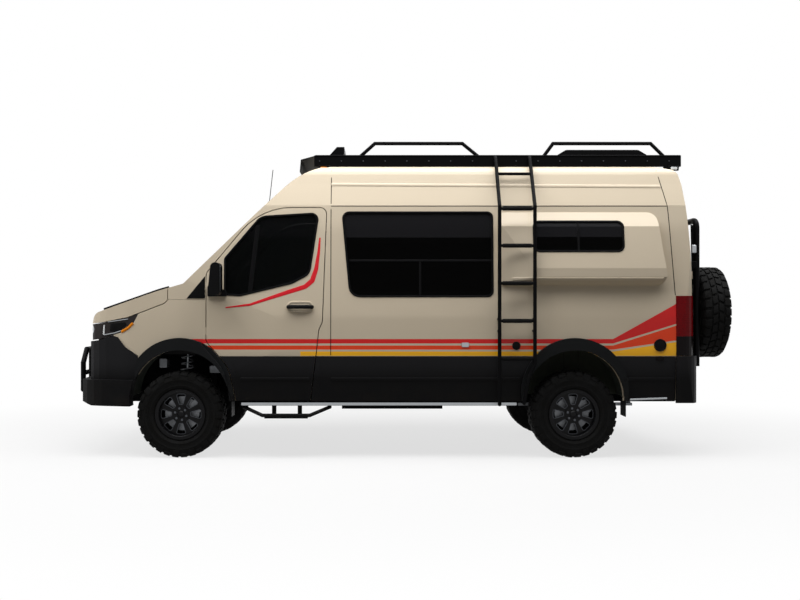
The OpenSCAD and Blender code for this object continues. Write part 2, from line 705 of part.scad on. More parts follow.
// Cab
module dashboard() color(dark) {
    intersection() {
        body_mass(wall + 1, sill_z - 4 * wall);
        union() {
            box(front_x + 500, -far, floor_z, front_x + 520, far, 1150);
            across(from_front(rounded([[200, 1240, 0], [500, 1100, 0], [580, 1180, 40], [560, 1330,
                60], [470, 1440, 60],
                [200, 1480, 0]])), -far, far);
        }
    }
    translate([front_x + 640, -seat_y, 1290]) rotate([0, 62, 0]) {
        rotate_extrude() translate([185, 0]) circle(d = 32);
        cylinder(d = 130, h = 40, center = true);
        translate([0, 0, -150]) cylinder(d = 60, h = 150);
        for (k = [0:2]) rotate(120 * k) rod_x(0, 0, 26, 40, 185);
    }
}
module seats() color("#2a2827") both_sides() translate([front_x, -seat_y, 0]) {
    across(shift(rounded([[-190, floor_z + floor_t, 0], [190, floor_z + floor_t, 0], [210, 900, 0],
        [-210, 900, 0]]), 960), -200, 200);
    across(shift(rounded([[-260, 900, 30], [230, 900, 0], [250, 960, 0], [-270, 1030, 50]]), 960),
        -245, 245);
    across(shift(rounded([[230, 905, 40], [340, 905, 60], [470, 1560, 40], [350, 1560, 40]]), 960),
        -235, 235);
    across(shift(rounded([[375, 1580, 40], [475, 1580, 40], [490, 1760, 40], [400, 1760, 40]]), 960),
        -130, 130);
    for (y = [-60, 60]) rod_z(1390, y, 14, 1540, 1600);
}

// Doors and hood, each with its hinge knuckles in the gap of the panel
module hood() color(paint) {
    intersection() {
        shell();
        across(hood_outline, -far, far);
    }
    for (y = [-300, 300]) {
        rod_y(hood_axis_x, hood_axis_z, door_gap - 2 * run_gap, y - 35, y + 35);
        box(hood_axis_x - 12, y - 35, hood_axis_z - 3, hood_axis_x, y + 35, hood_axis_z + 3);
    }
}
module door_hinges() for (z = [1180, 1600]) {
    rod_z(door_axis_x, -door_axis_y, door_gap - 2 * run_gap, z - 35, z + 35);
    box(door_axis_x, -door_axis_y - 2, z - 35, door_axis_x + door_gap, -door_axis_y + 3, z + 35);
}
module front_door() {
    difference() {
        intersection() {
            shell();
            on_left(door_outline);
        }
        on_left(door_window);
    }
    door_hinges();
}
module door_left() color(paint) front_door();
module door_right() color(paint) sided(true) front_door();
module door_glass() color(tint) intersection() {
    glass_layer();
    on_left(door_window);
}
module door_left_glass() door_glass();
module door_right_glass() sided(true) door_glass();
module door_cladding() color(black) intersection() {
    layer(-cladding_t, 0);
    on_left(door_outline);
    box(front_x, -far, sill_z, front_x + b_pillar_a, 0, belt_z);
}
module door_left_cladding() door_cladding();
module door_right_cladding() sided(true) door_cladding();
module mirror_body() color(black) difference() {
    union() {
        across(from_front(rounded([[262, 1500, 10], [440, 1500, 10], [430, 1560, 10], [262, 1600,
            10]])), -half_w - 15, -half_w + 60);
        across(from_front(box_outline(325, 1520, 390, 1560, 12)), -half_w - 110, -half_w);
        across(from_front(rounded([[300, 1510, 40], [415, 1510, 40], [415, 1806, 40], [330, 1806,
            40]])), -half_w - 240, -half_w - 95);
    }
    intersection() {
        along(section(0, sill_z), front_x, front_x + far);
        upward(plan(0), 0, roof_z);
    }
}
module mirror_left() mirror_body();
module mirror_right() sided(true) mirror_body();

// Rear doors, drawn for the right side, with the spare wheel on the left one
module rear_door() {
    difference() {
        intersection() {
            shell();
            along(rear_door_outline, rear_x + 900, rear_face_x + far);
        }
        along(rear_window, rear_x, rear_face_x + far);
    }
    for (z = [790, 1250, 1700]) {
        rod_z(rear_axis_x, rear_axis_y, door_gap - 2 * run_gap, z - 35, z + 35);
        box(rear_axis_x - 36, rear_axis_y - 12, z - 35, rear_axis_x + 3, rear_axis_y, z + 35);
    }
}
module rear_door_left() color(paint) sided(true) rear_door();
module rear_door_right() color(paint) rear_door();
module rear_glass() color(tint) intersection() {
    glass_layer();
    along(rear_window, rear_x + 900, rear_face_x + far);
}
module rear_glass_left() sided(true) rear_glass();
module rear_glass_right() rear_glass();

carrier_x = rear_face_x + 12 + carrier_tube_d;
carrier_y = [-800, -110];
module tyre_carrier() color(black) difference() {
    union() {
        for (y = carrier_y) rod_z(carrier_x, y, carrier_tube_d, 840, 2255);
        for (z = [900, spare_z, 1800, 2215]) rod_y(carrier_x, z, carrier_tube_d - 10, carrier_y[0],
            carrier_y[1]);
        for (y = carrier_y, z = [900, 1800]) box(rear_face_x - 120, y - 35, z - 35, carrier_x - 5,
            y + 35, z + 35);
        rod_x(-spare_y, spare_z, 130, carrier_x - 20, spare_x + rim_back);
    }
    body_mass(0, sill_z);
}
module spare_place() translate([spare_x, -spare_y, spare_z]) rotate([0, 90, 0]) children();
module spare_tyre() spare_place() tyre(spare_d, spare_w);
module spare_rim() spare_place() rim(spare_w);

// A hoop of tube hangs from each sill, with a tread plate and two arms behind it
module side_steps() color(black) both_sides() {
    high_z = sill_low - ball * tube_d / 2 - run_gap;
    low_z = high_z - 67;
    x0 = sill_x0 + tube_d;
    x1 = x0 + 800;
    bent_bar([[x0, -half_w + 80, high_z], [x0 + 180, -half_w - 20, low_z], [x1 - 180, -half_w - 20, low_z],
        [x1, -half_w + 80, high_z]], tube_d);
    box(x0 + 200, -half_w - 30, low_z - 28, x1 - 200, -half_w + 90, low_z - 8);
    for (x = [x0 + 260, x1 - 300]) box(x, -half_w + 70, low_z - 28, x + 40, -half_w + 90,
        sill_low - run_gap);
}

floor();
sills();
chassis_frame();
engine();
driveline();
front_axle();
rear_axle();
wheel_houses();
fenders();
cab_frame();
windscreen();
roof();
side_left();
side_right();
sliding_door();
rear_frame();
window_glass();
side_pods();
pod_glass();
cladding();
wheel_flares();
front_bumper();
bull_bar();
grille();
headlamps();
tail_lamps();
rear_bumper();
hitch();
side_steps();
roof_rack();
roof_unit();
ladder();
dashboard();
seats();
hood();
door_left();
door_right();
door_left_glass();
door_right_glass();
door_left_cladding();
door_right_cladding();
mirror_left();
mirror_right();
rear_door_left();
rear_door_right();
rear_glass_left();
rear_glass_right();
tyre_carrier();
spare_tyre();
spare_rim();
knuckle_left();
knuckle_right();
tyre_front_left();
tyre_front_right();
tyre_rear_left();
tyre_rear_right();
rim_front_left();
rim_front_right();
rim_rear_left();
rim_rear_right();
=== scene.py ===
# %% [markdown]
# A tall four-wheel-drive camper van, seen from its left side. The solids come packed from CAD and
# stay where they are. This script dresses them: finishes for every surface, and the trim, treads,
# bolts, lamps and seats that a real van shows. Sizes are in metres, the front is towards -X and the
# left side towards -Y.

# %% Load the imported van
import json
import math

import bmesh
import bpy
import numpy as np
from mathutils import Matrix, Vector
from mathutils.bvhtree import BVHTree

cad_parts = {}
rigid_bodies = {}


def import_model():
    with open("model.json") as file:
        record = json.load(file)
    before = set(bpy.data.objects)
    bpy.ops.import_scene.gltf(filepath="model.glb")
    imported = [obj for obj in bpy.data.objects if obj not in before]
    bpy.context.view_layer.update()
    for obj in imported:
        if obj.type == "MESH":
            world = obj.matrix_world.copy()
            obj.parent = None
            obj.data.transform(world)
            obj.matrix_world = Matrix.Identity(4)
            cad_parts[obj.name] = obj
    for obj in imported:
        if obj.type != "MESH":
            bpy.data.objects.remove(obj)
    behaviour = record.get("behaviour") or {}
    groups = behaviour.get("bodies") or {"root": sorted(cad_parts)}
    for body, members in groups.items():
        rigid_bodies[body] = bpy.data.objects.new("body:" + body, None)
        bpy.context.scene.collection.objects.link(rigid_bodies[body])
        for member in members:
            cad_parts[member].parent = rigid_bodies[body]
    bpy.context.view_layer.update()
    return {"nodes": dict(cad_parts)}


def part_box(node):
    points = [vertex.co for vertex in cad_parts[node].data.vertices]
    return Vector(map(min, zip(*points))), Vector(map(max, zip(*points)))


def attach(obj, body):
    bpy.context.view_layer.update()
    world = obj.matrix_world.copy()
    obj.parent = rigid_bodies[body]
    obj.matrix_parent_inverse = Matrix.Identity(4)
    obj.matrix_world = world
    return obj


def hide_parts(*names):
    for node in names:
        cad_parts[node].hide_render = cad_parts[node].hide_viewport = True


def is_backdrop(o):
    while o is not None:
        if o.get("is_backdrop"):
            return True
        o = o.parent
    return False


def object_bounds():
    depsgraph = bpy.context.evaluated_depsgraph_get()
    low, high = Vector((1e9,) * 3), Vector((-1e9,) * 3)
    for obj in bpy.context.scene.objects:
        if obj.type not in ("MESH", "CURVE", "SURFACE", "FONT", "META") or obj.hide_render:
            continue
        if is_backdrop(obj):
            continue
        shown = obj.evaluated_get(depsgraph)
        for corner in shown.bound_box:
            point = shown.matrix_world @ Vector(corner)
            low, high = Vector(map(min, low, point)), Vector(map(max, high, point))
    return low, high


scene = bpy.context.scene
for leftover in list(bpy.data.objects):
    bpy.data.objects.remove(leftover)
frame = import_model()
nodes = frame["nodes"]
front_x = -2.065
rear_x = front_x + 3.665
rear_face_x = rear_x + 1.125
axle_z = 0.4015
track = 1.73

# %% [markdown]
# The photograph looks square on at the left side from about ten metres. The lens and the small shift
# were solved from the wheels, the sills and the roof rack. The stage is a pale floor that keeps a soft
# shadow, and a world that cameras and shiny surfaces see as plain white.

# %% Camera
camera_data = bpy.data.cameras.new("camera")
camera_data.sensor_width = 36.0
camera_data.lens = 43.8
camera_data.shift_x = 0.027
camera_data.shift_y = 0.005
camera_data.clip_end = 200.0
camera = bpy.data.objects.new("camera", camera_data)
camera.location = (-0.22, -10.03, 1.43)
camera.rotation_euler = (math.radians(90.0), 0.0, 0.0)
scene.collection.objects.link(camera)
scene.camera = camera
scene.view_settings.view_transform = "Standard"
print("camera at", tuple(camera.location))

# %% [markdown]
# Shader maths reads best as plain Python. Value wraps one socket, so that a sum, a product or a
# difference of two of them adds the Math node that works it out. Finish holds one material and one
# method that adds any other node.

# %% Numbers over a surface
class Value:
    """A number that changes over a surface."""

    def __init__(self, finish, socket):
        self.finish = finish
        self.socket = socket

    def math(self, operation, first, second):
        return self.finish.node("ShaderNodeMath", {"operation": operation}, {0: first, 1: second})

    def __add__(self, other):
        return self.math("ADD", self, other)

    __radd__ = __add__

    def __sub__(self, other):
        return self.math("SUBTRACT", self, other)

    def __rsub__(self, other):
        return self.math("SUBTRACT", other, self)

    def __mul__(self, other):
        return self.math("MULTIPLY", self, other)

    __rmul__ = __mul__

    def __truediv__(self, other):
        return self.math("DIVIDE", self, other)

    def __pow__(self, other):
        return self.math("POWER", self, other)

    def __abs__(self):
        return self.math("ABSOLUTE", self, 0.0)

    def most(self, other):
        return self.math("MAXIMUM", self, other)

    def least(self, other):
        return self.math("MINIMUM", self, other)

    def remainder(self, step):
        return self.math("FLOORED_MODULO", self, step)


print("shader maths ready")

# %% One material at a time
class Finish:
    """One material: a Principled shader, constants on its own sockets, and nodes that feed it."""

    def __init__(self, name, **constants):
        self.material = bpy.data.materials.new(name)
        self.material.use_nodes = True
        self.tree = self.material.node_tree
        self.tree.nodes.clear()
        self.out = self.tree.nodes.new("ShaderNodeOutputMaterial")
        self.shader = self.tree.nodes.new("ShaderNodeBsdfPrincipled")
        self.tree.links.new(self.shader.outputs[0], self.out.inputs["Surface"])
        for key, value in constants.items():
            self.shader.inputs[key.replace("_", " ").title().replace("Ior", "IOR")].default_value = value

    def node(self, kind, settings=None, sockets=None, output=None):
        made = self.tree.nodes.new(kind)
        for key, value in (settings or {}).items():
            setattr(made, key, value)
        for key, value in (sockets or {}).items():
            target = made.inputs[key] if isinstance(key, int) else next(
                s for s in made.inputs if s.name == key and s.enabled)
            self.give(target, value)
        free = [s for s in made.outputs if s.enabled]
        return Value(self, free[0] if output is None else next(s for s in free if s.name == output))

    def give(self, target, value):
        if isinstance(value, Value):
            self.tree.links.new(value.socket, target)
        else:
            target.default_value = value

    def feed(self, **values):
        for key, value in values.items():
            self.give(self.shader.inputs[key.replace("_", " ").title()], value)
        return self

    def place(self):
        """Object coordinates as a vector, and as x, y and z."""
        vector = self.node("ShaderNodeTexCoord", output="Object")
        split = self.tree.nodes.new("ShaderNodeSeparateXYZ")
        self.tree.links.new(vector.socket, split.inputs[0])
        return vector, *[Value(self, s) for s in split.outputs]

    def noise(self, scale, detail=2.0, rough=0.5, vector=None):
        sockets = {"Scale": scale, "Detail": detail, "Roughness": rough}
        sockets["Vector"] = vector or self.node("ShaderNodeTexCoord", output="Object")
        return self.node("ShaderNodeTexNoise", None, sockets, "Fac")

    def cells(self, scale):
        sockets = {"Scale": scale, "Vector": self.node("ShaderNodeTexCoord", output="Object")}
        return self.node("ShaderNodeTexVoronoi", {"feature": "F1"}, sockets, "Distance")

    def ramp(self, value, low, high):
        """0 below low, 1 above high and smooth between them."""
        settings = {"interpolation_type": "SMOOTHSTEP"}
        sockets = {"Value": value, "From Min": low, "From Max": high}
        return self.node("ShaderNodeMapRange", settings, sockets)

    def blend(self, share, first, second):
        settings = {"data_type": "RGBA"}
        return self.node("ShaderNodeMix", settings, {"Factor": share, "A": first, "B": second}, "Result")

    def bump(self, height, distance, strength):
        sockets = {"Height": height, "Distance": distance, "Strength": strength}
        return self.node("ShaderNodeBump", None, sockets)


def rgb(text):
    """A linear colour from six hexadecimal digits."""
    parts = [int(text[i:i + 2], 16) / 255 for i in (0, 2, 4)]
    return tuple(p / 12.92 if p <= 0.04045 else ((p + 0.055) / 1.055) ** 2.4 for p in parts) + (1.0,)


def scaled(colour, by):
    """The same colour made lighter or darker."""
    return tuple(c * by for c in colour[:3]) + (1,)


print("shader helpers ready")

# %% [markdown]
# The light is one wide softbox above the camera's side, one panel ahead of the van and a weak one on the
# far side, all white. The world adds a little, so that no side falls into black.

# %% Floor
FLOOR_SIZE = 120.0
bpy.ops.mesh.primitive_plane_add(size=FLOOR_SIZE, location=(0.0, 0.0, 0.0))
floor = bpy.context.object
floor.name = "studio_floor"
floor_finish = Finish("studio_floor", roughness=0.9, specular_ior_level=0.1)
_, floor_x, floor_y, _ = floor_finish.place()
light_path = floor_finish.tree.nodes.new("ShaderNodeLightPath")
floor_tone = floor_finish.blend(floor_finish.noise(3.0), (0.50, 0.50, 0.50, 1), (0.52, 0.52, 0.52, 1))
bounced = Value(floor_finish, light_path.outputs["Is Diffuse Ray"])
floor_finish.feed(base_color=floor_finish.blend(bounced, floor_tone, (0.16, 0.15, 0.13, 1)))
sees_white = [Value(floor_finish, light_path.outputs[n]) for n in
              ("Is Camera Ray", "Is Glossy Ray", "Is Transmission Ray")]
glow = floor_finish.node("ShaderNodeEmission", None, {"Color": (1, 1, 1, 1), "Strength": 1.0})
FLOOR_GLOW = 0.72
far_away = floor_finish.ramp((floor_x * floor_x * 0.5 + floor_y * floor_y) ** 0.5, 1.6, 5.5)
floor_white = far_away * (1.0 - FLOOR_GLOW) + FLOOR_GLOW
floor_share = sees_white[0].most(sees_white[1]).most(sees_white[2]) * floor_white
floor_mix = floor_finish.node("ShaderNodeMixShader", None, {
    0: floor_share, 1: Value(floor_finish, floor_finish.shader.outputs[0]), 2: glow})
floor_finish.tree.links.new(floor_mix.socket, floor_finish.out.inputs["Surface"])
floor.data.materials.append(floor_finish.material)
floor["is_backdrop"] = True
print("floor of", FLOOR_SIZE, "metres")

# %% World
WORLD_STRENGTH = 0.08
world = bpy.data.worlds.new("studio")
scene.world = world
world.use_nodes = True
sky = world.node_tree
sky.nodes.clear()
sky_out = sky.nodes.new("ShaderNodeOutputWorld")
sky_path = sky.nodes.new("ShaderNodeLightPath")
sky_seen = sky.nodes.new("ShaderNodeBackground")
sky_seen.inputs["Strength"].default_value = 1.0
sky_lit = sky.nodes.new("ShaderNodeBackground")
sky_lit.inputs["Strength"].default_value = WORLD_STRENGTH
sky_mix = sky.nodes.new("ShaderNodeMixShader")
sky_most = [sky.nodes.new("ShaderNodeMath") for _ in range(2)]
for made in sky_most:
    made.operation = "MAXIMUM"
for shade in (sky_seen, sky_lit):
    shade.inputs["Color"].default_value = (1, 1, 1, 1)
sky.links.new(sky_path.outputs["Is Camera Ray"], sky_most[0].inputs[0])
sky.links.new(sky_path.outputs["Is Glossy Ray"], sky_most[0].inputs[1])
sky.links.new(sky_most[0].outputs[0], sky_most[1].inputs[0])
sky.links.new(sky_path.outputs["Is Transmission Ray"], sky_most[1].inputs[1])
sky.links.new(sky_most[1].outputs[0], sky_mix.inputs[0])
sky.links.new(sky_lit.outputs[0], sky_mix.inputs[1])
sky.links.new(sky_seen.outputs[0], sky_mix.inputs[2])
sky.links.new(sky_mix.outputs[0], sky_out.inputs["Surface"])
print("world at", WORLD_STRENGTH)

# %% Lamps
LAMPS = [
    # name, place, target, width, height, watts
    ("softbox_top", (0.5, -1.9, 6.4), (0.2, -0.5, 1.0), 13.0, 4.2, 1030.0),
    ("panel_front", (-8.5, -0.9, 5.2), (-2.4, -0.2, 1.3), 2.0, 3.0, 330.0),
    ("panel_right", (2.5, 9.0, 6.0), (0.0, 0.0, 1.2), 9.0, 4.0, 130.0),
]
for name, place, target, width, height, watts in LAMPS:
    lamp_data = bpy.data.lights.new(name, "AREA")
    lamp_data.shape = "RECTANGLE"
    lamp_data.size, lamp_data.size_y = width, height
    lamp_data.energy = watts
    lamp = bpy.data.objects.new(name, lamp_data)
    lamp.location = place
    lamp.rotation_mode = "QUATERNION"
    lamp.rotation_quaternion = (Vector(target) - Vector(place)).to_track_quat("-Z", "Y")
    lamp.visible_camera = False
    scene.collection.objects.link(lamp)
print(len(LAMPS), "lamps ready")

# %% [markdown]
# The body is sand-coloured paint under a clear coat. Under a low light such paint shows orange peel, a
# faint ripple of a few millimetres, and tiny flakes. Three stripes in red, orange and yellow run
# along each side above the cladding and fan out upwards behind the rear wheel. Masks on the object's
# own coordinates draw them, so that they run on across every panel gap.

# %% Body paint with its stripes
SAND = rgb("C8BBA6")
STRIPES = [
    # colour, lower and upper edge in front, lower and upper edge at the rear lamp, first x
    (rgb("D11A1A"), 1.064, 1.105, 1.270, 1.475, front_x + 0.05),
    (rgb("E43F11"), 1.007, 1.045, 1.105, 1.255, front_x + 0.05),
    (rgb("FFBC1C"), 0.949, 0.990, 0.949, 1.090, front_x + 1.12),
]
FAN_START, FAN_END = front_x + 4.02, rear_x + 1.02
STRIPE_SOFT = 0.0012
# Stripes stay outside this distance from the middle plane, and wrap inwards by a little at the rear corner
STRIPE_Y, CORNER_WRAP = 0.966, -0.096
REAR_CORNER = (2.30, 2.45)
HOOD_BLACK = 0.56


def paint_finish(name, with_stripes, black_middle=0.0):
    finish = Finish(name, coat_weight=0.25, coat_roughness=0.06, specular_ior_level=0.12)
    _, x, y, z = finish.place()
    flakes = finish.cells(1400.0)
    cloud = finish.noise(2.5, 3.0)
    colour = finish.blend(finish.ramp(flakes, 0.1, 0.9) * 0.10, SAND, rgb("A8987D"))
    colour = finish.blend(finish.ramp(cloud, 0.45, 0.75) * 0.06, colour, rgb("B5A68C"))
    film = finish.noise(55.0, 4.0)
    splash = (1.0 - finish.ramp(z, 0.50, 1.05)) * finish.ramp(film, 0.45, 0.8)
    colour = finish.blend(splash * 0.25, colour, rgb("8A7A62"))
    if with_stripes:
        share = ((x - FAN_START) / (FAN_END - FAN_START)).most(0.0).least(1.0)
        inner = finish.ramp(x, *REAR_CORNER) * CORNER_WRAP + STRIPE_Y
        side = finish.ramp(abs(y) - inner, 0.0, 0.004)
        for stripe, low, high, rear_low, rear_high, first in STRIPES:
            low_edge = share * (rear_low - low) + low
            high_edge = share * (rear_high - high) + high
            inside = finish.ramp(z - low_edge, -STRIPE_SOFT, STRIPE_SOFT)
            inside = inside * finish.ramp(high_edge - z, -STRIPE_SOFT, STRIPE_SOFT)
            inside = inside * finish.ramp(x, first - 0.002, first + 0.002) * side
            colour = finish.blend(inside, colour, stripe)
    if black_middle:
        middle = 1.0 - finish.ramp(abs(y), black_middle - 0.001, black_middle + 0.001)
        colour = finish.blend(middle, colour, rgb("0C0C0D"))
    peel = finish.noise(420.0, 1.0)
    rough = finish.ramp(film, 0.2, 0.9) * 0.10 + 0.30
    finish.feed(base_color=colour, roughness=rough, normal=finish.bump(peel, 0.00012, 0.35))
    return finish.material


paint = paint_finish("sand_paint", False)
striped_paint = paint_finish("sand_paint_striped", True)
hood_paint = paint_finish("sand_paint_black_middle", False, HOOD_BLACK)
print("paint with", len(STRIPES), "stripes")

# %% [markdown]
# The lower body wears moulded black plastic. Its grain is a fine leather-like pattern, its gloss changes
# in soft patches, and dust stays near the ground. The arch flares are the same moulding in a slightly
# greyer mix. The cladding's top is painted lighter, a painted highlight for the light that falls from above.

# %% Moulded plastics
def moulded_plastic(name, colour, dust, roughness, lift=1.0):
    finish = Finish(name, specular_ior_level=0.05)
    _, _, _, z = finish.place()
    grain = finish.cells(650.0)
    fine = finish.noise(1500.0, 2.0)
    haze = finish.noise(6.0, 4.0)
    low = (1.0 - finish.ramp(z, 0.35, 0.85)) * finish.ramp(haze, 0.35, 0.75)
    tone = finish.blend(finish.ramp(grain, 0.0, 0.8) * 0.35, colour, scaled(colour, 1.7))
    # Above 1, lift paints the top of the plastic lighter: a painted highlight for the light from above.
    if lift > 1.0:
        tone = finish.blend(finish.ramp(z, 0.70, 0.90) * 0.5, tone, scaled(colour, lift))
    tone = finish.blend(low * 0.22, tone, dust)
    rough = finish.ramp(haze, 0.3, 0.8) * 0.14 + roughness
    height = grain * 0.8 + fine * 0.2
    return finish.feed(base_color=tone, roughness=rough, normal=finish.bump(height, 0.0005, 0.5)).material


DUST = rgb("2E2A25")
# The cladding's top is painted seven times lighter, painted light from above.
cladding_painted_lighter_top = moulded_plastic("cladding_painted_lighter_top", rgb("0A0A0B"), DUST, 0.40, 7.0)
flare_grey = moulded_plastic("flare_grey", rgb("151617"), DUST, 0.46)
trim_black = moulded_plastic("trim_black", rgb("0A0A0B"), rgb("2A2723"), 0.36)
cab_plastic = moulded_plastic("cab_plastic", rgb("232425"), rgb("3A3734"), 0.55)
print("four moulded plastics")

# %% [markdown]
# Rack, ladder, carrier and bull bar are steel tube in black powder coat: fine bumps like the skin of
# an orange, satin rather than matt, with thin grey scuffs. Bare metal is faintly streaked and stained.

# %% Powder coat, undercoat and bare metal
def powder_coat(name, colour, roughness, scuff, gloss=0.035):
    finish = Finish(name, specular_ior_level=gloss)
    vector, _, _, _ = finish.place()
    peel = finish.noise(520.0, 2.0)
    stretched = finish.node("ShaderNodeMapping", None, {"Vector": vector, "Scale": (4.0, 30.0, 40.0)})
    scratches = finish.noise(3.0, 6.0, 0.7, stretched)
    worn = finish.ramp(scratches, 0.66, 0.78) * scuff
    tone = finish.blend(worn, colour, rgb("55565A"))
    tone = finish.blend(finish.ramp(peel, 0.4, 0.7) * 0.25, tone, scaled(colour, 1.6))
    rough = finish.ramp(peel, 0.3, 0.7) * 0.12 + worn * 0.15 + roughness
    return finish.feed(base_color=tone, roughness=rough, normal=finish.bump(peel, 0.0004, 0.45)).material


def bare_metal(name, colour, roughness, brushed):
    finish = Finish(name, specular_ior_level=0.5)
    vector, _, _, _ = finish.place()
    lines = finish.node("ShaderNodeMapping", None, {"Vector": vector, "Scale": brushed})
    streaks = finish.noise(40.0, 3.0, 0.6, lines)
    stain = finish.noise(14.0, 4.0)
    tone = finish.blend(finish.ramp(streaks, 0.3, 0.7) * 0.3, colour, scaled(colour, 0.7))
    rough = finish.ramp(stain, 0.3, 0.8) * 0.15 + roughness
    metal = 1.0 - finish.ramp(stain, 0.55, 0.85) * 0.25
    return finish.feed(base_color=tone, roughness=rough, metallic=metal,
                       normal=finish.bump(streaks, 0.0001, 0.3)).material


black_coat = powder_coat("black_powder_coat", rgb("070708"), 0.34, 0.25)
undercoat = powder_coat("undercoat", rgb("17181A"), 0.62, 0.5)
liner_grey = powder_coat("wheel_house_liner", rgb("4A4F49"), 0.7, 0.2)
cast_iron = bare_metal("cast_steel", rgb("6E7073"), 0.45, (1.0, 1.0, 1.0))
silver = bare_metal("silver_trim", rgb("9EA1A4"), 0.32, (8.0, 1.0, 1.0))
print("metal and coating finishes ready")

# %% [markdown]
# Privacy glass is nearly black from outside. It is a dark clear pane, so a little light still comes
# through, with a very smooth face and a faint film of wiped dust in its roughness. The top of each pane
# is a little greyer, where the tint lets the pale headlining show.

# %% Window glass
BAND_Z = 2.050


def tinted_glass(name, colour, band, alpha):
    finish = Finish(name, ior=1.45, specular_ior_level=0.02, alpha=alpha)
    vector, _, _, z = finish.place()
    wipe = finish.node("ShaderNodeMapping", None, {"Vector": vector, "Scale": (1.0, 1.0, 4.0)})
    film = finish.noise(5.0, 5.0, 0.6, wipe)
    tone = finish.blend(finish.ramp(film, 0.4, 0.8) * 0.5, colour, scaled(colour, 2.2))
    tone = finish.blend(finish.ramp(z, BAND_Z - 0.004, BAND_Z + 0.004), tone, band)
    return finish.feed(base_color=tone, roughness=finish.ramp(film, 0.45, 0.85) * 0.05 + 0.03).material


privacy_glass = tinted_glass("privacy_glass", rgb("020202"), rgb("1A1A1C"), 0.97)
cab_glass = tinted_glass("cab_glass", rgb("040505"), rgb("0A0B0C"), 0.86)
print("two window glasses")

# %% [markdown]
# Every CAD solid now gets the finish of what it is made of.

# %% Finishes on the solids
def dress(name, material):
    nodes[name].data.materials.clear()
    nodes[name].data.materials.append(material)


FINISHES = {
    striped_paint: "fenders side_left side_right sliding_door door_left door_right rear_frame cab_frame",
    hood_paint: "hood",
    paint: "roof rear_door_left rear_door_right side_pods",
    cladding_painted_lighter_top: "cladding door_left_cladding door_right_cladding front_bumper rear_bumper side_steps",
    flare_grey: "wheel_flares",
    trim_black: "grille mirror_left mirror_right",
    black_coat: "bull_bar roof_rack roof_unit ladder tyre_carrier hitch",
    undercoat: "floor sills chassis_frame engine driveline",
    liner_grey: "wheel_houses",
    cast_iron: "front_axle rear_axle knuckle_left knuckle_right",
    cab_plastic: "dashboard seats",
    privacy_glass: "window_glass pod_glass rear_glass_left rear_glass_right",
    cab_glass: "windscreen door_left_glass door_right_glass",
}
for material, names in FINISHES.items():
    for name in names.split():
        dress(name, material)
print("finishes on", sum(len(n.split()) for n in FINISHES.values()), "solids")

# %% [markdown]
# Small makers build all the trim. The first ones turn points and faces into an object, let a piece ride on
# its body, and join several pieces into one.

# %% Helpers for pieces
def mesh_object(name, verts, faces, material, smooth=30.0):
    mesh = bpy.data.meshes.new(name)
    mesh.from_pydata([tuple(v) for v in verts], [], [tuple(f) for f in faces])
    mesh.validate()
    made = bpy.data.objects.new(name, mesh)
    scene.collection.objects.link(made)
    mesh.materials.append(material)
    soften(made, smooth)
    return made


def ring_faces(first, second, count):
    """Faces between two rings of count points that start at these numbers."""
    ahead = [(k + 1) % count for k in range(count)]
    return [(first + k, first + j, second + j, second + k) for k, j in enumerate(ahead)]


def soften(made, angle):
    """Merge doubles, point faces outwards, and shade smooth below this angle in degrees."""
    shape = bmesh.new()
    shape.from_mesh(made.data)
    bmesh.ops.remove_doubles(shape, verts=shape.verts, dist=1e-6)
    bmesh.ops.recalc_face_normals(shape, faces=shape.faces)
    for face in shape.faces:
        face.smooth = True
    for edge in shape.edges:
        edge.smooth = len(edge.link_faces) == 2 and edge.calc_face_angle(0.0) < math.radians(angle)
    shape.to_mesh(made.data)
    shape.free()


def add_piece(made, body, slot, *replaced):
    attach(made, body)
    if replaced:
        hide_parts(*replaced)
    return made


def join(name, parts):
    """Several objects become one mesh at the origin, each keeping its own material."""
    verts, faces, marks, materials = [], [], [], []
    for part in parts:
        start = len(verts)
        verts += [part.matrix_world @ v.co for v in part.data.vertices]
        for face in part.data.polygons:
            faces.append([start + i for i in face.vertices])
            material = part.data.materials[face.material_index]
            if material not in materials:
                materials.append(material)
            marks.append(materials.index(material))
        bpy.data.objects.remove(part)
    made = mesh_object(name, verts, faces, materials[0])
    for material in materials[1:]:
        made.data.materials.append(material)
    made.data.polygons.foreach_set("material_index", marks)
    return made


print("piece helpers ready")

# %% [markdown]
# A ray cast at the solids finds a point on the van's skin, so that trim sits on the real surface wherever
# the body curves. Round pieces are made along Y, and one matrix stands them up.

# %% Rays at the skin
def skin_of(*names):
    """A ray target made of CAD solids."""
    verts, faces = [], []
    for name in names:
        mesh = nodes[name].data
        start = len(verts)
        verts += [v.co.copy() for v in mesh.vertices]
        faces += [[start + i for i in p.vertices] for p in mesh.polygons]
    return BVHTree.FromPolygons(verts, faces)


FAR = 4.0
TOWARDS = {"left": Vector((0, 1, 0)), "right": Vector((0, -1, 0)), "rear": Vector((-1, 0, 0)),
           "front": Vector((1, 0, 0)), "top": Vector((0, 0, -1))}


def on_skin(skin, side, across, up):
    """Point and outward direction on the skin, seen from one side: across is x or y, up is z or y."""
    way = TOWARDS[side]
    if side == "top":
        start = Vector((across, up, FAR))
    elif side in ("rear", "front"):
        start = Vector((0, across, up)) - way * FAR
    else:
        start = Vector((across, 0, up)) - way * FAR
    place, normal, _, _ = skin.ray_cast(start, way)
    if place is None:
        return None
    return place, normal if normal.dot(way) < 0 else -normal


UPRIGHT = Matrix.Rotation(math.radians(90.0), 4, "X")
print("rays from", ", ".join(TOWARDS))

# %% [markdown]
# Four shapes come back again and again: an outline with round corners, a low strip along a line on the skin,
# an outline pushed out to a prism, and a round bar with eased bends.

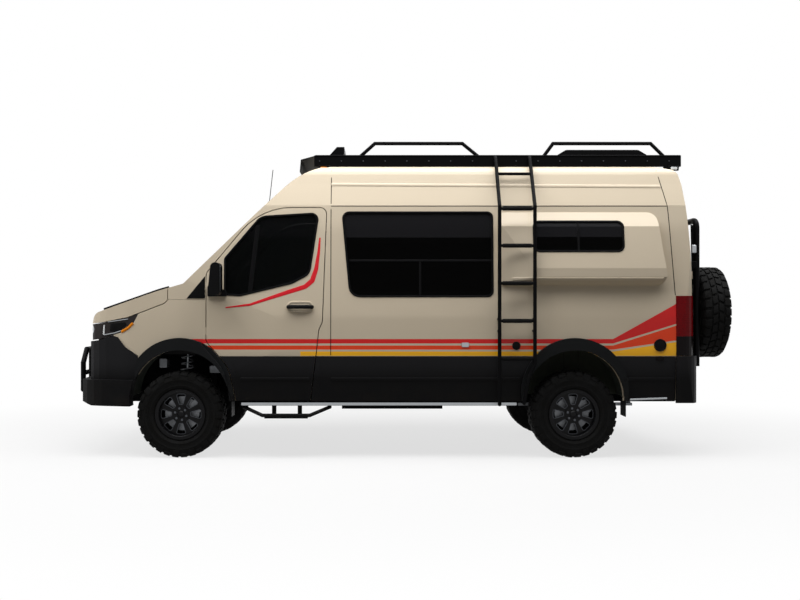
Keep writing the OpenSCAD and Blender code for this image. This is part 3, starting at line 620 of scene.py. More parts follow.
# %% Outlines and lines
def rounded_outline(rows, steps=6):
    """Points of an outline whose [x, y, radius] corners are rounded."""
    points = []
    for i, (x, y, radius) in enumerate(rows):
        corner = Vector((x, y))
        if radius == 0:
            points.append(corner)
            continue
        to_last = (Vector(rows[i - 1][:2]) - corner).normalized()
        to_next = (Vector(rows[(i + 1) % len(rows)][:2]) - corner).normalized()
        half = to_last.angle(to_next) / 2
        hub = corner + (to_last + to_next).normalized() * radius / math.sin(half)
        start = corner + to_last * radius / math.tan(half) - hub
        end = corner + to_next * radius / math.tan(half) - hub
        sweep = start.angle_signed(end)
        for k in range(steps + 1):
            angle = -sweep * k / steps
            turned = Vector((start.x * math.cos(angle) - start.y * math.sin(angle),
                             start.x * math.sin(angle) + start.y * math.cos(angle)))
            points.append(hub + turned)
    return points


def dense(points, step, closed):
    """The same line with points no further apart than step."""
    line = [Vector(p) for p in points]
    ends = line + line[:1] if closed else line
    result = []
    for a, b in zip(ends, ends[1:]):
        count = max(1, math.ceil((b - a).length / step))
        result += [a.lerp(b, k / count) for k in range(count)]
    return result if closed else result + [line[-1]]


print("outlines and lines ready")

# %% Strips
def strip(name, skin, side, points, width, height, material, closed=False, step=0.05, sink=0.002,
          taper=None):
    """A low moulding laid along a line on the skin, with a crowned section."""
    line = [on_skin(skin, side, *p) for p in dense(points, step, closed)]
    line = [p for p in line if p is not None]
    section = [(-0.5, -sink), (-0.5, 0.55 * height), (-0.36, height), (0.36, height), (0.5, 0.55 * height),
               (0.5, -sink)]
    verts, faces = [], []
    count = len(line)
    for i, (place, normal) in enumerate(line):
        before = line[i - 1][0] if closed or i > 0 else place
        after = line[(i + 1) % count][0] if closed or i < count - 1 else place
        beside = (after - before).normalized().cross(normal).normalized()
        share = 1.0 if taper is None else np.interp(i / max(1, count - 1), *taper)
        verts += [place + beside * (u * width * share) + normal * v for u, v in section]
    ring = len(section)
    for i in range(count if closed else count - 1):
        faces += ring_faces(i * ring, (i + 1) % count * ring, ring)
    if not closed:
        faces.append(tuple(range(ring)))
        faces.append(tuple(range((count - 1) * ring, count * ring))[::-1])
    return mesh_object(name, verts, faces, material, 40.0)


print("strips ready")

# %% Prisms and bars
def prism(name, outline, low, high, material, axis="y", chamfer=0.0, smooth=40.0):
    """An outline in two axes pushed out along the third, with chamfered rims."""
    middle = sum((Vector(p) for p in outline), Vector((0, 0))) / len(outline)
    levels = [(low, 1.0)] if chamfer == 0 else [(low, 0.0), (low + chamfer, 1.0)]
    levels += [(high, 1.0)] if chamfer == 0 else [(high - chamfer, 1.0), (high, 0.0)]
    verts, faces = [], []
    for level, full in levels:
        for point in outline:
            gap = Vector(point) - middle
            shrink = gap * (1 - (0 if full else chamfer / max(gap.length, chamfer * 2)))
            u, v = middle + shrink
            verts.append({"x": (level, u, v), "y": (u, level, v), "z": (u, v, level)}[axis])
    count = len(outline)
    for ring in range(len(levels) - 1):
        faces += ring_faces(ring * count, (ring + 1) * count, count)
    faces.append(tuple(range(count)))
    faces.append(tuple(range((len(levels) - 1) * count, len(levels) * count)))
    return mesh_object(name, verts, faces, material, smooth)


def tube(name, points, diameter, material, sides=14, bend=0.0):
    """A round bar along points, its bends rounded by this radius."""
    path = [Vector(p) for p in points]
    if bend:
        eased = [path[0]]
        for a, b, c in zip(path, path[1:], path[2:]):
            start, end = b + (a - b).normalized() * bend, b + (c - b).normalized() * bend
            eased += [start.lerp(b, t).lerp(b.lerp(end, t), t) for t in np.linspace(0, 1, 8)]
        path = eased + [path[-1]]
    verts, faces, lean = [], [], None
    for i, place in enumerate(path):
        way = (path[min(i + 1, len(path) - 1)] - path[max(i - 1, 0)]).normalized()
        if lean is None:
            lean = way.orthogonal().normalized()
        lean = (lean - way * lean.dot(way)).normalized()
        beside = way.cross(lean)
        for k in range(sides):
            angle = 2 * math.pi * k / sides
            verts.append(place + (lean * math.cos(angle) + beside * math.sin(angle)) * diameter / 2)
    for i in range(len(path) - 1):
        faces += ring_faces(i * sides, (i + 1) * sides, sides)
    faces.append(tuple(range(sides)))
    faces.append(tuple(range((len(path) - 1) * sides, len(path) * sides)))
    return mesh_object(name, verts, faces, material, 50.0)


print("prisms and bars ready")

# %% [markdown]
# What repeats is made by Geometry Nodes. One tree sets copies of a shape in a ring about the Y axis,
# for tread lugs, nuts and rim edges. The other sets copies in a straight row, for grips, slots and
# bolts. Both end in real geometry, because instances don't survive an export.

# %% Trees for rings and rows
def repeat_tree(name, in_ring):
    tree = bpy.data.node_groups.new(name, "GeometryNodeTree")
    face = tree.interface
    face.new_socket("Geometry", in_out="INPUT", socket_type="NodeSocketGeometry")
    face.new_socket("Count", in_out="INPUT", socket_type="NodeSocketInt")
    face.new_socket("Turn" if in_ring else "Pitch", in_out="INPUT",
                    socket_type="NodeSocketFloat" if in_ring else "NodeSocketVector")
    face.new_socket("Finish", in_out="INPUT", socket_type="NodeSocketMaterial")
    face.new_socket("Geometry", in_out="OUTPUT", socket_type="NodeSocketGeometry")
    add, link = tree.nodes.new, tree.links.new
    start, end = add("NodeGroupInput"), add("NodeGroupOutput")
    copies, real = add("GeometryNodeInstanceOnPoints"), add("GeometryNodeRealizeInstances")
    coat = add("GeometryNodeSetMaterial")
    if in_ring:
        points, index = add("GeometryNodePoints"), add("GeometryNodeInputIndex")
        step, angle = add("ShaderNodeMath"), add("ShaderNodeMath")
        turn = add("FunctionNodeAxisAngleToRotation")
        step.operation, angle.operation = "DIVIDE", "MULTIPLY_ADD"
        step.inputs[0].default_value = 2 * math.pi
        turn.inputs["Axis"].default_value = (0, 1, 0)
        link(start.outputs["Count"], points.inputs["Count"])
        link(start.outputs["Count"], step.inputs[1])
        link(index.outputs[0], angle.inputs[0])
        link(step.outputs[0], angle.inputs[1])
        link(start.outputs["Turn"], angle.inputs[2])
        link(angle.outputs[0], turn.inputs["Angle"])
        link(turn.outputs[0], copies.inputs["Rotation"])
    else:
        points = add("GeometryNodeMeshLine")
        link(start.outputs["Count"], points.inputs["Count"])
        link(start.outputs["Pitch"], points.inputs["Offset"])
    link(points.outputs[0], copies.inputs["Points"])
    link(start.outputs["Geometry"], copies.inputs["Instance"])
    link(copies.outputs[0], real.inputs[0])
    link(real.outputs[0], coat.inputs["Geometry"])
    link(start.outputs["Finish"], coat.inputs["Material"])
    link(coat.outputs[0], end.inputs[0])
    return tree


ring_tree, row_tree = repeat_tree("ring_of_copies", True), repeat_tree("row_of_copies", False)


def repeat(made, tree, **values):
    """Runs a tree on a piece and keeps the result as its plain mesh."""
    modifier = made.modifiers.new("copies", "NODES")
    modifier.node_group = tree
    for item in tree.interface.items_tree:
        if item.in_out == "INPUT" and item.name in values:
            modifier[item.identifier] = values[item.name]
    finish = next(item for item in tree.interface.items_tree if item.name == "Finish")
    modifier[finish.identifier] = made.data.materials[0]
    graph = bpy.context.evaluated_depsgraph_get()
    mesh = bpy.data.meshes.new_from_object(made.evaluated_get(graph))
    made.modifiers.remove(modifier)
    made.data = mesh
    return made


print("trees:", ring_tree.name, row_tree.name)

# %% [markdown]
# All-terrain tyres have blocks that wrap round the shoulder onto the sidewall. The CAD tyre gives the
# size over the blocks, so the carcass here is a little smaller and the blocks fill it up to that size.
# Rubber is dull and never quite black, and dust greys it in patches.

# %% Rubber and wheel finishes
def rubber_finish():
    finish = Finish("tyre_rubber", specular_ior_level=0.08)
    fine = finish.noise(900.0, 2.0)
    patches = finish.noise(9.0, 4.0)
    dust = finish.ramp(patches, 0.42, 0.72) * 0.35
    tone = finish.blend(dust, rgb("0A0A0A"), rgb("171614"))
    tone = finish.blend(finish.ramp(fine, 0.4, 0.7) * 0.3, tone, rgb("070707"))
    rough = finish.ramp(patches, 0.3, 0.7) * 0.14 + 0.68
    return finish.feed(base_color=tone, roughness=rough, normal=finish.bump(fine, 0.0004, 0.5)).material


rubber = rubber_finish()
rim_black = powder_coat("satin_black_rim", rgb("0E0E10"), 0.20, 0.15, 0.10)
rim_edge = bare_metal("dark_machined_edge", rgb("4A4C50"), 0.30, (1.0, 12.0, 1.0))
print("rubber and rim finishes ready")

# %% Turned shapes and lugs
LUGS = 30
LUG_H = 0.012


def revolve(name, profile, steps, material):
    """A closed outline of (radius, distance along the axle) rows turned about the Y axis."""
    verts, faces, count = [], [], len(profile)
    for k in range(steps):
        angle = 2 * math.pi * k / steps
        verts += [(r * math.cos(angle), h, r * math.sin(angle)) for r, h in profile]
    for k in range(steps):
        faces += ring_faces(k * count, (k + 1) % steps * count, count)
    return mesh_object(name, verts, faces, material, 35.0)


def lug(name, section, width, lean, material):
    """A tread block: a (distance, radius) section pushed along the tread by its width."""
    verts, count = [], len(section)
    for along, full in ((-0.5, 0.86), (-0.44, 1.0), (0.44, 1.0), (0.5, 0.86)):
        middle = sum(r for _, r in section) / count
        for h, r in section:
            grown = r if r < middle else middle + (r - middle) * full
            verts.append((grown, h, along * width + lean * h))
    faces = [tuple(range(count)), tuple(range(3 * count, 4 * count))]
    for ring in range(3):
        faces += ring_faces(ring * count, (ring + 1) * count, count)
    return mesh_object(name, verts, faces, material, 25.0)


print("turned shapes and lugs ready")

# %% Tyres
def tyre(name, diameter, width, rim_d):
    r, w, bead = diameter / 2, width / 2, rim_d / 2
    crown, waist = r - LUG_H, (bead + r) / 2
    half = [
        (bead, 0.80 * w), (bead + 0.012, 0.84 * w), (bead + 0.020, 0.80 * w), (bead + 0.026, 0.85 * w),
        (bead + 0.048, 0.93 * w), (bead + 0.052, 0.95 * w), (bead + 0.058, 0.95 * w),
        (bead + 0.062, 0.94 * w), (waist + 0.007, 0.985 * w), (waist + 0.011, 1.0 * w),
        (waist + 0.017, 1.0 * w), (waist + 0.021, 0.985 * w), (r - 0.050, 0.955 * w), (r - 0.026, 0.89 * w),
        (crown, 0.76 * w), (crown, 0.30 * w)]
    profile = half + [(a, -h) for a, h in reversed(half)]
    parts = [revolve(name, profile, 120, rubber)]
    long_lug = [(0.46 * w, crown - 0.004), (0.46 * w, r), (0.74 * w, r), (0.88 * w, r - 0.008),
                (0.985 * w, r - 0.036), (1.0 * w, r - 0.066), (0.95 * w, r - 0.070), (0.93 * w, r - 0.045),
                (0.80 * w, crown - 0.008)]
    short_lug = [(0.52 * w, crown - 0.004), (0.52 * w, r - 0.001), (0.74 * w, r - 0.001),
                 (0.88 * w, r - 0.010), (0.975 * w, r - 0.034), (0.94 * w, r - 0.042),
                 (0.84 * w, crown - 0.008)]
    middle_lug = [(0.05 * w, crown - 0.004), (0.05 * w, r), (0.36 * w, r), (0.38 * w, crown - 0.004)]
    pitch = 2 * math.pi * r / LUGS
    for flip in (1, -1):
        for section, share, lean, count, turn in (
                (long_lug, 0.72, 0.10, LUGS // 2, 0.0),
                (short_lug, 0.70, 0.10, LUGS // 2, 2 * math.pi / LUGS),
                (middle_lug, 0.74, 0.45, LUGS, math.pi / LUGS)):
            block = lug(name + "_lug", [(flip * h, a) for h, a in section], share * pitch, lean * flip,
                        rubber)
            parts.append(repeat(block, ring_tree, Count=count, Turn=turn + (0.04 if flip < 0 else 0.0)))
        rib = lug(name + "_rib", [(flip * h, a) for h, a in (
            (0.935 * w, bead + 0.066), (0.962 * w, bead + 0.066), (0.992 * w, waist + 0.003),
            (0.965 * w, waist + 0.003))], 0.0035, 0.0, rubber)
        parts.append(repeat(rib, ring_tree, Count=96, Turn=0.0))
    return join(name, parts)


WHEELS = [
    # end, side, x, direction of the outer face along Y
    ("front", "left", front_x, -1), ("front", "right", front_x, 1),
    ("rear", "left", rear_x, -1), ("rear", "right", rear_x, 1)]
RIM_D, TYRE_D, TYRE_W, SPARE_D, SPARE_W = 0.436, 0.803, 0.265, 0.880, 0.270


def wheel_place(x, outward):
    turn = Matrix.Rotation(math.pi if outward > 0 else 0.0, 4, "Z")
    return Matrix.Translation((x, outward * track / 2, axle_z)) @ turn


spare_low, spare_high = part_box("spare_tyre")
spare_middle = (spare_low + spare_high) / 2
spare_place = Matrix.Translation(spare_middle) @ Matrix.Rotation(math.pi / 2, 4, "Z")
for end, side, x, outward in WHEELS:
    made = tyre(f"tread_{end}_{side}", TYRE_D, TYRE_W, RIM_D)
    made.data.transform(wheel_place(x, outward))
    add_piece(made, f"wheel_{end}_{side}", "tyre", f"tyre_{end}_{side}")
made = tyre("tread_spare", SPARE_D, SPARE_W, RIM_D)
made.data.transform(spare_place)
add_piece(made, "rear_door_left", "tyre", "spare_tyre")
print("five tyres,", len(made.data.polygons), "faces each")

# %% [markdown]
# The wheels are satin black alloy. A slightly brighter edge runs round each window, six nuts hold the
# wheel, a cap closes the hub and a rubber valve stands by the rim's edge.

# %% Wheel details
NUTS, NUT_R, NUT_RING, NUT_TURN = 6, 0.0125, 0.055, 0.3
HEXAGON = [Vector((math.cos(k * math.pi / 3), math.sin(k * math.pi / 3))) for k in range(6)]
FACE = 0.0702
WINDOW = [(0.090, -0.016, 0.009), (0.184, -0.043, 0.014), (0.184, 0.043, 0.014), (0.090, 0.016, 0.009)]
WINDOWS = 8
PLATE = 0.0602


def frame_of(name, outline, inner, low, high, material):
    """A flat closed band between an outline and the same outline moved inwards."""
    rings = [(outline, low), (outline, high), (inner, high), (inner, low)]
    verts = [(p[0], -level, p[1]) for ring, level in rings for p in ring]
    count, faces = len(outline), []
    for ring in range(4):
        faces += ring_faces(ring * count, (ring + 1) % 4 * count, count)
    return mesh_object(name, verts, faces, material, 30.0)


def grown(outline, by):
    """An outline moved outwards along its corners."""
    count, result = len(outline), []
    for i, point in enumerate(outline):
        ahead = (outline[(i + 1) % count] - point).normalized()
        behind = (point - outline[i - 1]).normalized()
        way = (ahead + behind).normalized()
        result.append(point + Vector((way.y, -way.x)) * by)
    return result


def wheel_details(name):
    window = rounded_outline(WINDOW)
    edge = frame_of(name + "_edge", grown(window, 0.0045), grown(window, 0.0008), PLATE - 0.001,
                    PLATE + 0.0016, rim_edge)
    parts = [repeat(edge, ring_tree, Count=WINDOWS, Turn=0.0)]
    hexagon = [p * NUT_R + Vector((NUT_RING, 0)) for p in HEXAGON]
    nut = prism(name + "_nut", hexagon, -FACE - 0.014, -FACE + 0.002, rim_edge, "y", 0.002)
    parts.append(repeat(nut, ring_tree, Count=NUTS, Turn=NUT_TURN))
    cap = [(0.0, FACE + 0.020), (0.012, FACE + 0.020), (0.016, FACE + 0.018), (0.024, FACE + 0.017),
           (0.031, FACE + 0.011), (0.034, FACE - 0.002), (0.0, FACE - 0.002)]
    parts.append(revolve(name + "_cap", [(r, -h) for r, h in cap], 40, rim_black))
    lip = [(0.2005, 0.1155), (0.2045, 0.1185), (0.2165, 0.1190), (0.2195, 0.1160), (0.2165, 0.1140),
           (0.2040, 0.1140)]
    parts.append(revolve(name + "_lip", [(r, -h) for r, h in lip], 96, rim_black))
    valve = tube(name + "_valve", [(0.196, -0.075, 0.02), (0.190, -0.090, 0.02), (0.184, -0.104, 0.02)],
                 0.008, rubber)
    parts.append(valve)
    return join(name, parts)


for end, side, x, outward in WHEELS:
    made = wheel_details(f"wheel_trim_{end}_{side}")
    made.data.transform(wheel_place(x, outward))
    add_piece(made, f"wheel_{end}_{side}", "rim")
    dress(f"rim_{end}_{side}", rim_black)
made = wheel_details("wheel_trim_spare")
made.data.transform(spare_place)
add_piece(made, "rear_door_left", "rim")
dress("spare_rim", rim_black)
print("wheel trim:", len(made.data.polygons), "faces on each wheel")

# %% [markdown]
# Black rubber frames the glass. Each gasket follows its opening on the real surface, just outside the
# cut. The big side window opens in its lower half, so bars divide it, and so do the pod windows.

# %% Window gaskets
MM = 0.001
GASKET_W = 0.018
GASKET_H = 0.005
GASKET_OUT = 0.38


def opening(start, *rows):
    """A rounded outline from rows of distance behind start, height and corner radius in millimetres."""
    return rounded_outline([(start + a * MM, z * MM, r * MM) for a, z, r in rows])


gasket_rubber = moulded_plastic("gasket_rubber", rgb("060607"), rgb("1C1A18"), 0.5)
DOOR_WINDOW = opening(front_x, (425, 1526, 30), (560, 1516, 100), (1040, 1632, 200), (1196, 1716, 90),
                      (1280, 2270, 50), (752, 2238, 120), (425, 1850, 30))
SIDE_WINDOW = opening(front_x, (1590, 1509, 90), (2900, 1509, 40), (2900, 2279, 40), (1518, 2279, 50))
SLIDING_WINDOW = opening(front_x, (1590, 1509, 90), (2820, 1509, 60), (2820, 2279, 60), (1518, 2279, 50))
POD_WINDOW = opening(rear_x, (-377, 1924, 45), (438, 1924, 45), (438, 2190, 45), (-377, 2190, 45))
REAR_WINDOW = opening(0, (110, 1480, 70), (790, 1480, 70), (770, 2190, 90), (110, 2190, 70))
SCREEN = opening(0, (-860, 1640, 70), (860, 1640, 70), (765, 2262, 70), (-765, 2262, 70))
REAR_WINDOW_LEFT = [Vector((-p.x, p.y)) for p in reversed(REAR_WINDOW)]

# Columns: name, body, side it is seen from, outline, solids it sits on
GASKETS = [
    ("door_left", "door_left", "left", DOOR_WINDOW, ("door_left", "door_left_glass")),
    ("door_right", "door_right", "right", DOOR_WINDOW, ("door_right", "door_right_glass")),
    ("side", "van", "left", SIDE_WINDOW, ("side_left", "window_glass")),
    ("sliding", "van", "right", SLIDING_WINDOW, ("sliding_door", "window_glass")),
    ("pod_left", "van", "left", POD_WINDOW, ("side_pods", "pod_glass")),
    ("pod_right", "van", "right", POD_WINDOW, ("side_pods", "pod_glass")),
    ("rear_left", "rear_door_left", "rear", REAR_WINDOW_LEFT, ("rear_door_left", "rear_glass_left")),
    ("rear_right", "rear_door_right", "rear", REAR_WINDOW, ("rear_door_right", "rear_glass_right")),
    ("screen", "van", "front", SCREEN, ("cab_frame", "windscreen")),
]
for name, body, side, outline, solids in GASKETS:
    line = grown(outline, GASKET_W * GASKET_OUT)
    made = strip(f"gasket_{name}", skin_of(*solids), side, line, GASKET_W, GASKET_H, gasket_rubber,
                 closed=True, step=0.06)
    add_piece(made, body, "black_plastic")
print("gaskets:", len(GASKETS))

# %% Glazing bars
BAR_W, DOOR_POST_W = 0.020, 0.040
PANE_Z = 1.833
PANE_X = 0.168
POD_X = 1.630
POST = [(-1.345, 2.165), (-1.414, 1.545)]
# Columns: name, body, side, solid, ends of the bar as distance along and height
BARS = [
    ("side_rail", "van", "left", "window_glass", [(-0.530, PANE_Z), (0.835, PANE_Z)]),
    ("side_post", "van", "left", "window_glass", [(PANE_X, 1.515), (PANE_X, PANE_Z)]),
    ("sliding_rail", "van", "right", "window_glass", [(-0.530, PANE_Z), (0.755, PANE_Z)]),
    ("sliding_post", "van", "right", "window_glass", [(PANE_X, 1.515), (PANE_X, PANE_Z)]),
    ("pod_post_left", "van", "left", "pod_glass", [(POD_X, 1.926), (POD_X, 2.188)]),
    ("pod_post_right", "van", "right", "pod_glass", [(POD_X, 1.926), (POD_X, 2.188)]),
    ("door_post_left", "door_left", "left", "door_left_glass", POST),
    ("door_post_right", "door_right", "right", "door_right_glass", POST),
]
for name, body, side, solid, ends in BARS:
    width = DOOR_POST_W if name.startswith("door_post") else BAR_W
    made = strip(f"bar_{name}", skin_of(solid), side, ends, width, GASKET_H, gasket_rubber, step=0.04)
    add_piece(made, body, "black_plastic")
print("bars:", len(BARS))

# %% [markdown]
# The front doors carry a pull handle in a body-coloured bowl and one red line that sweeps up to the
# window. The same line and handle are on both sides.

# %% Door details
SIDES = [("left", -1), ("right", 1)]
ACCENT = [(-1.638, 1.396), (-1.411, 1.424), (-1.104, 1.526), (-0.900, 1.591), (-0.835, 1.646),
          (-0.798, 1.758), (-0.776, 1.906), (-0.764, 2.048)]
HANDLE = (-0.945, 1.402)
SLIDING_HANDLE = (-0.52, 1.40)
GRIP_D = 0.036
BOWL_X, BOWL_Z, BOWL_CORNER = 0.230, 0.092, 0.045
GRIP_SHAPE = [(-0.112, 0.002), (-0.098, 0.026), (-0.060, 0.034), (0.060, 0.034), (0.098, 0.026),
              (0.112, 0.002)]
ACCENT_W, ACCENT_H = 0.046, 0.0016
ACCENT_TAPER = ([0.0, 0.45, 0.7, 1.0], [0.25, 0.8, 1.0, 0.3])
red_line = moulded_plastic("red_line", rgb("C8262F"), rgb("A03038"), 0.35)


def patch(name, skin, side, outline, height, material, step=0.03):
    """A thin closed panel laid on the skin, filled from its outline."""
    rim = [on_skin(skin, side, *p) for p in dense(outline, step, True)]
    rim = [p for p in rim if p is not None]
    middle = sum((p for p, _ in rim), Vector()) / len(rim)
    count, verts, faces = len(rim), [], []
    for lift, share in ((-0.002, 1.0), (height * 0.6, 1.0), (height, 0.94)):
        verts += [middle + (p - middle) * share + n * lift for p, n in rim]
    for ring in range(2):
        faces += ring_faces(ring * count, (ring + 1) * count, count)
    faces += [tuple(range(count)), tuple(range(2 * count, 3 * count))]
    return mesh_object(name, verts, faces, material, 35.0)


def handle(name, skin, side, across, up):
    """A pull handle: a raised bowl rim in body colour, and a black grip that bridges it."""
    x0, x1 = across - BOWL_X / 2, across + BOWL_X / 2
    z0, z1 = up - BOWL_Z / 2, up + BOWL_Z / 2
    bowl = rounded_outline([(x, z, BOWL_CORNER) for x, z in ((x0, z0), (x1, z0), (x1, z1), (x0, z1))])
    rim = strip(name + "_rim", skin, side, bowl, 0.016, 0.007, paint, closed=True, step=0.02)
    dish = patch(name + "_dish", skin, side, grown(bowl, -0.006), 0.0025, paint, 0.02)
    place, normal = on_skin(skin, side, across, up)
    points = [place + Vector((along, 0, 0)) + normal * out for along, out in GRIP_SHAPE]
    grip = tube(name + "_grip", points, GRIP_D, trim_black, 16, 0.018)
    return join(name, [rim, dish, grip])


for side, sign in SIDES:
    door = f"door_{side}"
    skin = skin_of(door)
    add_piece(handle(f"handle_{side}", skin, side, *HANDLE), door, "black_plastic")
    line = strip(f"accent_{side}", skin, side, ACCENT, ACCENT_W, ACCENT_H, red_line, step=0.03,
                 taper=ACCENT_TAPER)
    add_piece(line, door, "paint")
add_piece(handle("handle_sliding", skin_of("sliding_door"), "right", *SLIDING_HANDLE), "van",
          "black_plastic")
print("door details on both sides")

# %% [markdown]
# Lamps. The headlamp lens is smoked and fluted, with two bright bowls that face forwards and an amber
# lamp at its rear edge. The tail lamps are deep red above and nearly black below, with moulded ribs.

# %% Lamp finishes
BOWLS = [(0.575, 1.165), (0.735, 1.190)]
BOWL_R = 0.058


def lens_finish():
    finish = Finish("smoked_lens", coat_weight=0.08, coat_roughness=0.03, specular_ior_level=0.05)
    _, x, y, z = finish.place()
    flutes = ((abs(y) * 1.0 + x * 0.6).remainder(0.016) - 0.008) * 60.0
    tone = finish.blend(finish.noise(9.0, 3.0), rgb("0C0B0C"), rgb("2C2828"))
    tone = finish.blend(finish.ramp(z, 1.05, 1.30) * 0.5, tone, rgb("3A3535"))
    shine = None
    for bowl_y, bowl_z in BOWLS:
        gap_y, gap_z = abs(y) - bowl_y, z - bowl_z
        distance = (gap_y * gap_y + gap_z * gap_z) ** 0.5
        bulb = 1.0 - finish.ramp(distance, 0.012, 0.022)
        ring = finish.ramp(distance, BOWL_R - 0.012, BOWL_R - 0.008)
        ring = ring * (1.0 - finish.ramp(distance, BOWL_R, BOWL_R + 0.004))
        bright = bulb.most(ring)
        shine = bright if shine is None else shine.most(bright)
    shine = shine * (1.0 - finish.ramp(x, -2.80, -2.72))
    tone = finish.blend(shine, tone, rgb("C9CCD0"))
    return finish.feed(base_color=tone, metallic=shine * 0.7,
                       roughness=finish.noise(70.0, 2.0) * 0.1 + 0.12,
                       normal=finish.bump(abs(flutes), 0.0008, 0.35)).material


def lamp_finish(name, dark, bright, split):
    finish = Finish(name, coat_weight=0.06, coat_roughness=0.04, specular_ior_level=0.04)
    _, _, _, z = finish.place()
    ribs = abs(z.remainder(0.020) - 0.010) * 90.0
    cubes = finish.cells(120.0)
    tone = finish.blend(finish.ramp(cubes, 0.2, 0.7) * 0.5, bright, dark)
    tone = finish.blend(1.0 - finish.ramp(z, split - 0.002, split + 0.002), tone, rgb("0A0405"))
    return finish.feed(base_color=tone, roughness=finish.noise(60.0, 2.0) * 0.1 + 0.14,
                       normal=finish.bump(ribs, 0.0012, 0.4)).material


lens = lens_finish()
red_lamp = lamp_finish("red_lamp", rgb("3A0004"), rgb("7A0008"), 1.13)
amber_lamp = lamp_finish("amber_lamp", rgb("A84A06"), rgb("E08A1C"), -1.0)
clear_lamp = lamp_finish("clear_lamp", rgb("A9ADB0"), rgb("E4E6E8"), -1.0)
blank_plate = moulded_plastic("blank_plate", rgb("C9C8C2"), rgb("8B857A"), 0.4)
dress("headlamps", lens)
dress("tail_lamps", red_lamp)
print("lamp finishes ready")

# %% Lamp insides
LAMP_BOWL = [(-2.745, 1.175), (-2.660, 1.170), (-2.575, 1.235), (-2.590, 1.262), (-2.735, 1.248)]
AMBER, AMBER_W = [(-2.500, 1.262), (-2.560, 1.205), (-2.625, 1.168)], 0.026
LAMP_BAR_H = 0.006
# Columns: points, width, material
LAMP_BARS = [
    ([(-2.800, 1.232), (-2.806, 1.142)], 0.016, clear_lamp),
    ([(-2.800, 1.140), (-2.690, 1.160), (-2.630, 1.180)], 0.010, silver),
    ([(-2.760, 1.262), (-2.560, 1.290)], 0.008, silver),
]
lamp_skin = skin_of("headlamps")
for side, sign in SIDES:
    amber = strip(f"amber_{side}", lamp_skin, side, AMBER, AMBER_W, LAMP_BAR_H, amber_lamp, step=0.02)
    add_piece(amber, "van", "lamp_clear")
    bowl = patch(f"lamp_bowl_{side}", lamp_skin, side, LAMP_BOWL, 0.004, trim_black, 0.02)
    bars = [strip(f"lamp_bar_{side}_{count}", lamp_skin, side, points, width, LAMP_BAR_H, material,
                  step=0.02)
            for count, (points, width, material) in enumerate(LAMP_BARS)]
    add_piece(join(f"lamp_inside_{side}", [bowl] + bars), "van", "lamp_clear")
print("lamp insides with", len(LAMP_BARS), "bars a side")

# %% [markdown]
# Small round fittings are turned from a profile and set square on the skin: the fuel flap, a side
# inlet, fog lamps and parking sensors. Flat ones are laid on it: markers, a vent, reflectors, a high lamp.

# %% Makers for fittings
def button(name, skin, side, across, up, profile, material, steps=32):
    """A turned piece of (radius, height) rows, standing on the skin."""
    place, normal = on_skin(skin, side, across, up)
    made = revolve(name, profile, steps, material)
    turn = Vector((0, 1, 0)).rotation_difference(normal).to_matrix().to_4x4()
    made.data.transform(Matrix.Translation(place) @ turn)
    return made


def dome(radius, height):
    return [(0.0, -0.004), (radius, -0.004), (radius, 0.4 * height), (0.93 * radius, 0.8 * height),
            (0.80 * radius, 0.8 * height), (0.76 * radius, 0.55 * height), (0.5 * radius, 0.85 * height),
            (0.0, height)]


def block(middle_x, middle_z, width, height, corner=0.010):
    x0, x1 = middle_x - width / 2, middle_x + width / 2
    z0, z1 = middle_z - height / 2, middle_z + height / 2
    return rounded_outline([(x0, z0, corner), (x1, z0, corner), (x1, z1, corner), (x0, z1, corner)])


print("makers for round and flat fittings ready")

# %% Round and flat fittings
LOWER_SIDE = ("cladding", "rear_bumper", "rear_frame", "wheel_flares")
side_skins = {"left": skin_of("side_left", *LOWER_SIDE),
              "right": skin_of("side_right", "sliding_door", *LOWER_SIDE)}
rear_skin = skin_of("rear_bumper", "rear_frame", "roof")
bumper_skin = skin_of("front_bumper")
# Columns: name, skin, side, along and up, radius, height, material, slot
ROUND = [
    ("fuel_flap", side_skins["left"], "left", (1.058, 1.043), 0.039, 0.008, trim_black, "black_plastic"),
    ("side_inlet", side_skins["left"], "left", (2.391, 1.048), 0.058, 0.012, trim_black, "black_plastic"),
    ("fog_lamp_left", bumper_skin, "front", (-0.640, 0.845), 0.055, 0.020, clear_lamp, "lamp_clear"),
    ("fog_lamp_right", bumper_skin, "front", (0.640, 0.845), 0.055, 0.020, clear_lamp, "lamp_clear"),
    ("sensor_1", rear_skin, "rear", (-0.620, 0.640), 0.012, 0.004, trim_black, "black_plastic"),
    ("sensor_2", rear_skin, "rear", (-0.220, 0.640), 0.012, 0.004, trim_black, "black_plastic"),
    ("sensor_3", rear_skin, "rear", (0.220, 0.640), 0.012, 0.004, trim_black, "black_plastic"),
    ("sensor_4", rear_skin, "rear", (0.620, 0.640), 0.012, 0.004, trim_black, "black_plastic"),
]
for name, skin, side, spot, radius, height, material, slot in ROUND:
    add_piece(button(name, skin, side, *spot, dome(radius, height), material), "van", slot)
